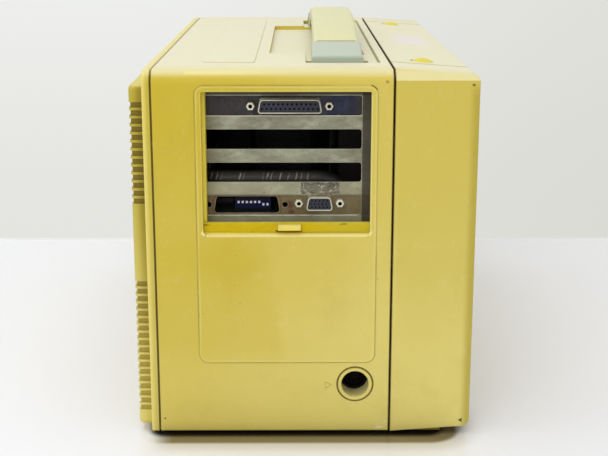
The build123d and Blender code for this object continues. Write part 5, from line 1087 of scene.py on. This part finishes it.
class LUGGABLE_OT_loom(Operator):
    """Creased sleeve that follows the wiring's route, with its two plugs"""

    bl_idname = "luggable.loom"
    bl_label = "Wiring loom"

    def execute(self, context):
        rng = random.Random(4)
        boxes = islands("wiring_loom")
        tube = max(boxes, key=lambda b: (b[1] - b[0]).length)
        plugs = [b for b in boxes if b is not tube]
        radius = 5.0 * MM
        x, front, foot = (value + radius for value in tube[0])
        start_x, rear, top = tube[1].x, tube[1].y - radius, tube[1].z - radius
        end_x = min(low.x for low, high in plugs)
        mesh = bmesh.new()
        ring = bmesh.ops.create_circle(mesh, cap_ends=False, segments=20, radius=radius)["verts"]
        bmesh.ops.rotate(mesh, cent=(0, 0, 0), matrix=Matrix.Rotation(math.radians(90), 3, "Y"), verts=ring)
        bmesh.ops.translate(mesh, vec=(start_x, rear, top), verts=ring)
        first, second, third = 15 * MM, 22 * MM, 12 * MM          # radii of the three bends
        edges, _ = self.run(mesh, edges_of(ring), (x + first - start_x, 0, 0), 12 * MM)
        edges = self.bend(mesh, edges, (x + first, rear - first, top), (0, 0, 1))
        edges, creased = self.run(mesh, edges, (0, front + second - (rear - first), 0), 1.6 * MM)
        edges = self.bend(mesh, edges, (x, front + second, top - second), (1, 0, 0))
        edges, _ = self.run(mesh, edges, (0, 0, foot + third - (top - second)), 8 * MM)
        edges = self.bend(mesh, edges, (x + third, front, foot + third), (0, -1, 0))
        self.run(mesh, edges, (end_x - (x + third), 0, 0), 4 * MM)
        for verts in creased:
            middle = sum((v.co for v in verts), Vector()) / len(verts)
            pinch = 1.0 - rng.random() * 0.05
            bmesh.ops.scale(mesh, vec=(pinch, 1.0, pinch), verts=verts, space=Matrix.Translation(-middle))
        bmesh.ops.recalc_face_normals(mesh, faces=mesh.faces)
        for low, high in plugs:
            made = box_in(mesh, low, high)
            fill_slot(faces_of(made), 1)
            soften(mesh, edges_of(made), 1.0 * MM, 2)
        put(mesh, "loom_and_plugs", "casing", ["loom", "black"], ("wiring_loom",), 60.0)
        return {"FINISHED"}

    def run(self, mesh, edges, move, step):
        """Extends the tube straight on; returns its open end and the rings made."""
        move, rings = Vector(move), []
        count = max(1, round(move.length / step))
        for _ in range(count):
            made = bmesh.ops.extrude_edge_only(mesh, edges=edges)["geom"]
            rings.append(verts_in(made))
            edges = [e for e in edges_in(made) if set(e.verts) <= set(rings[-1])]
            bmesh.ops.translate(mesh, vec=move / count, verts=rings[-1])
        return edges, rings

    def bend(self, mesh, edges, centre, axis):
        """Turns the tube a quarter round a centre; returns its open end."""
        made = bmesh.ops.spin(mesh, geom=edges, cent=centre, axis=axis, angle=math.radians(90), steps=8)
        return edges_in(made["geom_last"])


class LUGGABLE_OT_foil(Operator):
    """Torn foil left on the rail under the third slot"""

    bl_idname = "luggable.foil"
    bl_label = "Foil remnant"

    def execute(self, context):
        rng = random.Random(11)
        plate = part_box("slot_frame")[0].x
        span_y, span_z = (-21.5 * MM, 1.6 * MM), (151.6 * MM, 158.5 * MM)
        mesh = bmesh.new()
        made = bmesh.ops.create_grid(mesh, x_segments=34, y_segments=12, size=0.5)["verts"]
        for v in made:
            across, up = v.co.x + 0.5, v.co.y + 0.5
            edge = min(across, 1 - across, up, 1 - up)
            crumple = rng.random()
            y = span_y[0] + (span_y[1] - span_y[0]) * across
            z = span_z[0] + (span_z[1] - span_z[0]) * up
            if edge < 0.01:
                y += (rng.random() - 0.5) * 0.9 * MM
                z += (rng.random() - 0.6) * 0.7 * MM
            v.co = Vector((plate - (0.12 + 0.3 * crumple) * MM, y, z))
        bmesh.ops.solidify(mesh, geom=list(mesh.faces), thickness=0.08 * MM)
        bmesh.ops.recalc_face_normals(mesh, faces=mesh.faces)
        put(mesh, "torn_foil_remnant", "casing", ["foil"], (), 20.0)
        return {"FINISHED"}


class LUGGABLE_OT_pointer(Operator):
    """Raised triangle beside the keyboard socket"""

    bl_idname = "luggable.pointer"
    bl_label = "Socket pointer"

    def execute(self, context):
        mesh = bmesh.new()
        made = bmesh.ops.create_circle(mesh, cap_ends=True, segments=3, radius=2.7 * MM)["verts"]
        for v in made:
            v.co = Vector((-CASING_END + 0.05 * MM, -14.6 * MM - v.co.y, 32.8 * MM + v.co.x))
        face = faces_of(made)[0]
        face.normal_update()
        if face.normal.x > 0:
            face.normal_flip()
        ring = bmesh.ops.inset_region(mesh, faces=[face], thickness=0.45 * MM, use_boundary=True)["faces"]
        bmesh.ops.delete(mesh, geom=[face], context="FACES")
        out = bmesh.ops.extrude_face_region(mesh, geom=ring)["geom"]
        bmesh.ops.translate(mesh, vec=(-0.2 * MM, 0, 0), verts=verts_in(out))
        bmesh.ops.recalc_face_normals(mesh, faces=mesh.faces)
        put(mesh, "socket_pointer", "casing", ["pointer"])
        return {"FINISHED"}


class LUGGABLE_OT_keycaps(Operator):
    """Dished caps with soft edges on every key"""

    bl_idname = "luggable.keycaps"
    bl_label = "Key caps"

    def execute(self, context):
        dish = context.scene.key_look.dish
        for node, body in (("keycaps_main", "main_keys"), ("keycaps_function", "function_keys"),
                           ("space_bar", "space_bar_key")):
            mesh = bmesh.new()
            for low, high in islands(node):
                self.cap(mesh, low, high, dish, node)
            put(mesh, node + "_dished", body, ["key_light", "key_dark"], (node,), 50.0)
        return {"FINISHED"}

    def cap(self, mesh, low, high, dish, node):
        """One tapered cap with a dished top, on its stem."""
        base, taper, half = high.y - 7.5 * MM, 2.2 * MM, 2.5 * MM
        made = box_in(mesh, (low.x, base, low.z), high)
        x, _, z = (low + high) / 2
        for v in made:
            if v.co.y > base + 1 * MM:
                v.co.x += taper if v.co.x < x else -taper
                v.co.z += taper if v.co.z < z else -taper
        grey = node == "keycaps_function" or high.x - low.x > 22 * MM and node != "space_bar"
        fill_slot(faces_of(made), 1 if grey else 0)
        top = end_face(faces_of(made), 1, max)
        sides = [e for v in made for e in v.link_edges if abs(e.verts[0].co.y - e.verts[1].co.y) > 2 * MM]
        inset(mesh, top, 1.5 * MM, -dish)
        rim = [e for e in mesh.edges if all(abs(v.co.y - high.y) < 1e-6 and low.x < v.co.x < high.x
                                            and low.z < v.co.z < high.z for v in e.verts)]
        soften(mesh, list(set(sides + rim)), 0.6 * MM, 2)
        stem = box_in(mesh, (x - half, low.y, z - half), (x + half, base + 0.5 * MM, z + half))
        fill_slot(faces_of(stem), 1)


class LUGGABLE_OT_screws(Operator):
    """Slotted heads for the base and rear screws"""

    bl_idname = "luggable.screws"
    bl_label = "Casing screws"

    def execute(self, context):
        mesh = bmesh.new()
        for low, high in islands("casing_screws"):
            x, y, z = (low + high) / 2
            if high.z - low.z > high.y - low.y:
                self.screw(mesh, Vector((x, y, low.z)), Vector((0, 0, 1)), high.z - low.z)
            else:
                self.screw(mesh, Vector((x, high.y, z)), Vector((0, -1, 0)), high.y - low.y)
        put(mesh, "casing_screw_set", "casing", ["plated"], ("casing_screws",))
        return {"FINISHED"}

    def screw(self, mesh, crown, inward, length):
        """Shank, a disc and two half discs that leave the driver's slot between them."""
        rod_in(mesh, crown + inward * 1.0 * MM, crown + inward * length, SHANK, 12)
        rod_in(mesh, crown + inward * 0.8 * MM, crown + inward * 1.6 * MM, HEAD)
        across = inward.orthogonal().normalized()
        for side in (-1, 1):
            half = bmesh.new()
            rod_in(half, crown, crown + inward * 0.85 * MM, HEAD)
            rim = [e for e in half.edges if all((v.co - crown).dot(inward) < 1e-6 for v in e.verts)]
            soften(half, rim, 0.35 * MM, 2)
            plane = bmesh.ops.bisect_plane(half, geom=list(half.verts) + list(half.edges) + list(half.faces),
                                           plane_co=crown + across * side * 0.35 * MM, plane_no=across * side,
                                           clear_inner=True)["geom_cut"]
            bmesh.ops.contextual_create(half, geom=edges_in(plane))
            bmesh.ops.recalc_face_normals(half, faces=half.faces)
            data = to_data(half, "half_head")
            mesh.from_mesh(data)
            bpy.data.meshes.remove(data)


class LUGGABLE_OT_drive_details(Operator):
    """Slot trim and access lamp on the disk drive's bezel"""

    bl_idname = "luggable.drive_details"
    bl_label = "Disk drive details"

    def execute(self, context):
        low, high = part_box("floppy_bezel")
        root, face = high.x - 0.2 * MM, high.x
        slot_y = low.y + 16.5 * MM
        mid = (low.z + high.z) / 2
        mesh = bmesh.new()
        # the slot's two long ribs stay low enough for the lever to turn over them
        for y in (slot_y - 3.6 * MM, slot_y + 3.6 * MM):
            soft_box(mesh, (root, y - 0.7 * MM, mid - 69.5 * MM), (face + 0.6 * MM, y + 0.7 * MM, mid + 69.5 * MM),
                     0.5 * MM)
        for k in range(9):
            z = low.z + 4.0 * MM + k * 1.6 * MM
            soft_box(mesh, (root, high.y - 12.0 * MM, z), (face + 0.5 * MM, high.y - 3.0 * MM, z + 0.7 * MM),
                     0.2 * MM, 1)
        put(mesh, "drive_slot_trim", "casing", ["dark"])
        mesh = bmesh.new()
        soft_box(mesh, (root, low.y + 4.0 * MM, low.z + 10.0 * MM),
                 (face + 0.9 * MM, low.y + 7.0 * MM, low.z + 16.0 * MM), 0.6 * MM, 3)
        put(mesh, "drive_lamp", "casing", ["lamp"])
        return {"FINISHED"}


class LUGGABLE_OT_inlet_pins(Operator):
    """Rounded metal pins in the power inlet"""

    bl_idname = "luggable.inlet_pins"
    bl_label = "Inlet pins"

    def execute(self, context):
        low, high = max(islands("power_inlet"), key=lambda b: b[1].y)
        _, y, z = (low + high) / 2
        floor_x = CASING_END - 12.8 * MM
        mesh = bmesh.new()
        for dy, dz in ((-7.0, -2.0), (0.0, 3.0), (7.0, -2.0)):
            pin = box_in(mesh, (floor_x + 0.2 * MM, y + (dy - 2.06) * MM, z + (dz - 1.06) * MM),
                         (floor_x + 7.1 * MM, y + (dy + 2.06) * MM, z + (dz + 1.06) * MM))
            tip = [v for v in pin if v.co.x > floor_x + 5 * MM]
            soften(mesh, edges_of(tip), 0.5 * MM, 2)
        put(mesh, "inlet_pins", "casing", ["brass"])
        return {"FINISHED"}


SEEING_RAYS = ("Is Camera Ray", "Is Glossy Ray", "Is Transmission Ray")


class LUGGABLE_OT_stage(Operator):
    """White table, backdrop, lamps and camera"""

    bl_idname = "luggable.stage"
    bl_label = "Stage"

    def execute(self, context):
        look = context.scene.stage_look
        self.table(look)
        self.lamps(context, look)
        self.surroundings(context, look)
        self.camera(context)
        return {"FINISHED"}

    def table(self, look):
        """The table's finish: glossy, with painted shadow near the port end, and plain on the backdrop."""
        f = Finish("table_white", specular=0.5)
        behind = f.x.rise(BACKDROP_X - 0.006, BACKDROP_X + 0.006)
        side = (f.y + (f.cloud(0.7, 1.0) - 0.5) * 0.2).rise(0.25, -0.35)
        # painted shade: the table a little darker towards -y
        f.body = f.mix(side * 0.4, tint(look.table), paint(236, 236, 240))
        f.coat(f.cloud(3.0, 3.0) * 0.1, 236, 236, 236)
        f.coat(behind, 240, 240, 240)
        # painted shadow where the unit stands clear of the table on its feet: dark under it, a brown band of painted
        # shadow and reflection round it, and a broad soft shade beyond
        foot = f.outline(f.x, f.y, (-0.195, -0.0830), (0.195, 0.0925), 0.006)
        near = f.x.rise(-0.140, -0.180)
        beside = f.y.rise(0.098, 0.080) * near
        f.coat(foot.rise(0.0320, 0.0150) * beside * 0.75, 208, 204, 196)
        f.coat(foot.rise(0.0165, 0.0115) * beside * 0.92, 112, 98, 52)
        f.coat(foot.rise(0.0070, 0.0004) * near * 0.95, 18, 12, 6)
        f.done(0.2 + f.cloud(5.0, 3.0) * 0.08 + behind * 0.5, f.cloud(60.0, 2.0), 0.02 * MM, 0.05)
        # the wall glows its own shade to the lens, glass and metal, whatever the lamps do, with painted shade low down
        # and towards -y
        wall = f.mix(f.z.rise(0.0, 0.30), paint(228, 229, 224), paint(239, 240, 238))
        wall = f.mix(side * 0.9, wall, f.mix(f.z.rise(0.0, 0.40), paint(217, 218, 210), paint(224, 225, 220)))
        glow = f.node("ShaderNodeEmission", None, {"Color": wall}, "Emission")
        seen = None
        for kind in SEEING_RAYS:
            ray = f.node("ShaderNodeLightPath", out=kind)
            seen = f.math("MAXIMUM", seen, ray) if seen else ray
        shown = Wire(f, f.surface.outputs[0])
        shown = f.node("ShaderNodeMixShader", None, {0: behind * seen, 1: shown, 2: glow})
        # the wall is seen from its front only
        gone = f.node("ShaderNodeBsdfTransparent")
        back = f.node("ShaderNodeNewGeometry", out="Backfacing")
        shown = f.node("ShaderNodeMixShader", None, {0: behind * back, 1: shown, 2: gone})
        f.feed(f.tree.nodes["Material Output"].inputs["Surface"], shown)
        self.sheet(f.material)

    def sheet(self, material):
        """The table's top, swept up into the backdrop, facing the object."""
        mesh = bmesh.new()
        made = bmesh.ops.create_grid(mesh, x_segments=1, y_segments=1, size=1.0)["verts"]
        for v in made:
            v.co = Vector((BACKDROP_X if v.co.x > 0 else TABLE_START, v.co.y * TABLE_HALF, 0.0))
        edge = [e for e in mesh.edges if all(v.co.x > 0 for v in e.verts)]
        swept = bmesh.ops.spin(mesh, geom=edge, cent=(BACKDROP_X, 0, BACKDROP_SWEEP), axis=(0, -1, 0),
                               angle=math.radians(90), steps=14)["geom_last"]
        made = bmesh.ops.extrude_edge_only(mesh, edges=edges_in(swept))["geom"]
        bmesh.ops.translate(mesh, vec=(BACKDROP_LEAN, 0, BACKDROP_HEIGHT), verts=verts_in(made))
        bmesh.ops.recalc_face_normals(mesh, faces=mesh.faces)
        flat = max(mesh.faces, key=lambda face: face.calc_area() * abs(face.normal.z))
        if flat.normal.z < 0:
            bmesh.ops.reverse_faces(mesh, faces=mesh.faces)
        data = to_data(mesh, "table_and_backdrop")
        data.materials.append(material)
        table = bpy.data.objects.new("table_and_backdrop", data)
        bpy.context.scene.collection.objects.link(table)

    def lamps(self, context, look):
        """Four soft square lamps, each aimed at a place on the object."""
        for name, power, size, place, aim in (
                ("key_lamp", look.key_power, 1.4, (-0.35, 0.15, 1.7), (0.0, 0.0, 0.1)),
                ("fill_lamp", look.fill_power, 1.2, (-1.7, 0.5, 0.9), (-0.19, 0.0, 0.12)),
                ("rear_lamp", look.fill_power * REAR_SHARE, 1.4, (0.1, 1.5, 1.2), (0.0, 0.0, 0.1)),
                ("front_lamp", look.fill_power * FRONT_SHARE, 1.2, (0.3, -1.7, 0.5), (0.0, -0.1, 0.12))):
            lamp = bpy.data.lights.new(name, "AREA")
            lamp.shape = "SQUARE"
            lamp.size = size
            lamp.energy = power
            made = bpy.data.objects.new(name, lamp)
            made.location = place
            made.rotation_euler = (Vector(aim) - Vector(place)).to_track_quat("-Z", "Y").to_euler()
            context.scene.collection.objects.link(made)

    def surroundings(self, context, look):
        """Even light; past the table the lens, glass and metal see one pale shade."""
        world = bpy.data.worlds.new("even_light")
        world.use_nodes = True
        back = world.node_tree.nodes["Background"]
        back.inputs["Color"].default_value = (1.0, 1.0, 1.0, 1.0)
        back.inputs["Strength"].default_value = look.sky
        nodes, links = world.node_tree.nodes, world.node_tree.links
        rays = nodes.new("ShaderNodeLightPath")
        plain = nodes.new("ShaderNodeBackground")
        plain.inputs["Color"].default_value = paint(230, 231, 227)
        shown = back.outputs[0]
        for ray in SEEING_RAYS:
            mixed = nodes.new("ShaderNodeMixShader")
            links.new(rays.outputs[ray], mixed.inputs[0])
            links.new(shown, mixed.inputs[1])
            links.new(plain.outputs[0], mixed.inputs[2])
            shown = mixed.outputs[0]
        links.new(shown, nodes["World Output"].inputs["Surface"])
        context.scene.world = world
        context.scene.view_settings.view_transform = "Standard"

    def camera(self, context):
        """A camera beyond the port end, looking slightly down on it."""
        pitch, yaw = math.radians(CAMERA_DOWN), math.radians(CAMERA_SIDE)
        ahead = Vector((math.cos(pitch) * math.cos(yaw), -math.cos(pitch) * math.sin(yaw), -math.sin(pitch)))
        right = ahead.cross(Vector((0, 0, 1))).normalized()
        up = right.cross(ahead)
        lens = bpy.data.cameras.new("desk_camera")
        lens.sensor_fit = "HORIZONTAL"
        lens.sensor_width = SENSOR
        lens.lens = FOCAL
        lens.clip_start = 0.01
        camera = bpy.data.objects.new("desk_camera", lens)
        turn = Matrix((right, up, -ahead)).transposed()
        camera.matrix_world = Matrix.Translation(CAMERA_AT) @ turn.to_4x4()
        context.scene.collection.objects.link(camera)
        context.scene.camera = camera


PIECES = (
    LUGGABLE_OT_finishes, LUGGABLE_OT_handle, LUGGABLE_OT_connectors, LUGGABLE_OT_jackscrews,
    LUGGABLE_OT_loom, LUGGABLE_OT_foil, LUGGABLE_OT_pointer, LUGGABLE_OT_keycaps, LUGGABLE_OT_screws,
    LUGGABLE_OT_drive_details, LUGGABLE_OT_inlet_pins, LUGGABLE_OT_stage,
)
LOOKS = {"casing_look": CasingLook, "handle_look": HandleLook, "port_look": PortLook, "key_look": KeyLook,
         "stage_look": StageLook}


class LUGGABLE_PT_pieces(Panel):
    """Lists the pieces, their sizes and their colours"""

    bl_idname = "LUGGABLE_PT_pieces"
    bl_label = "Luggable computer"
    bl_space_type = "VIEW_3D"
    bl_region_type = "UI"
    bl_category = "Luggable"

    def draw(self, context):
        for piece in PIECES:
            self.layout.operator(piece.bl_idname)
        for name, group in LOOKS.items():
            box = self.layout.box()
            for field in group.__annotations__:
                box.prop(getattr(context.scene, name), field)


def register():
    for group in LOOKS.values():
        bpy.utils.register_class(group)
    for name, group in LOOKS.items():
        setattr(bpy.types.Scene, name, PointerProperty(type=group))
    for piece in PIECES + (LUGGABLE_PT_pieces,):
        bpy.utils.register_class(piece)


def unregister():
    for piece in reversed(PIECES + (LUGGABLE_PT_pieces,)):
        bpy.utils.unregister_class(piece)
    for name in LOOKS:
        delattr(bpy.types.Scene, name)
    for group in LOOKS.values():
        bpy.utils.unregister_class(group)


def main():
    register()
    for piece in PIECES:
        group, name = piece.bl_idname.split(".")
        getattr(getattr(bpy.ops, group), name)()


if __name__ == "__main__":
    main()
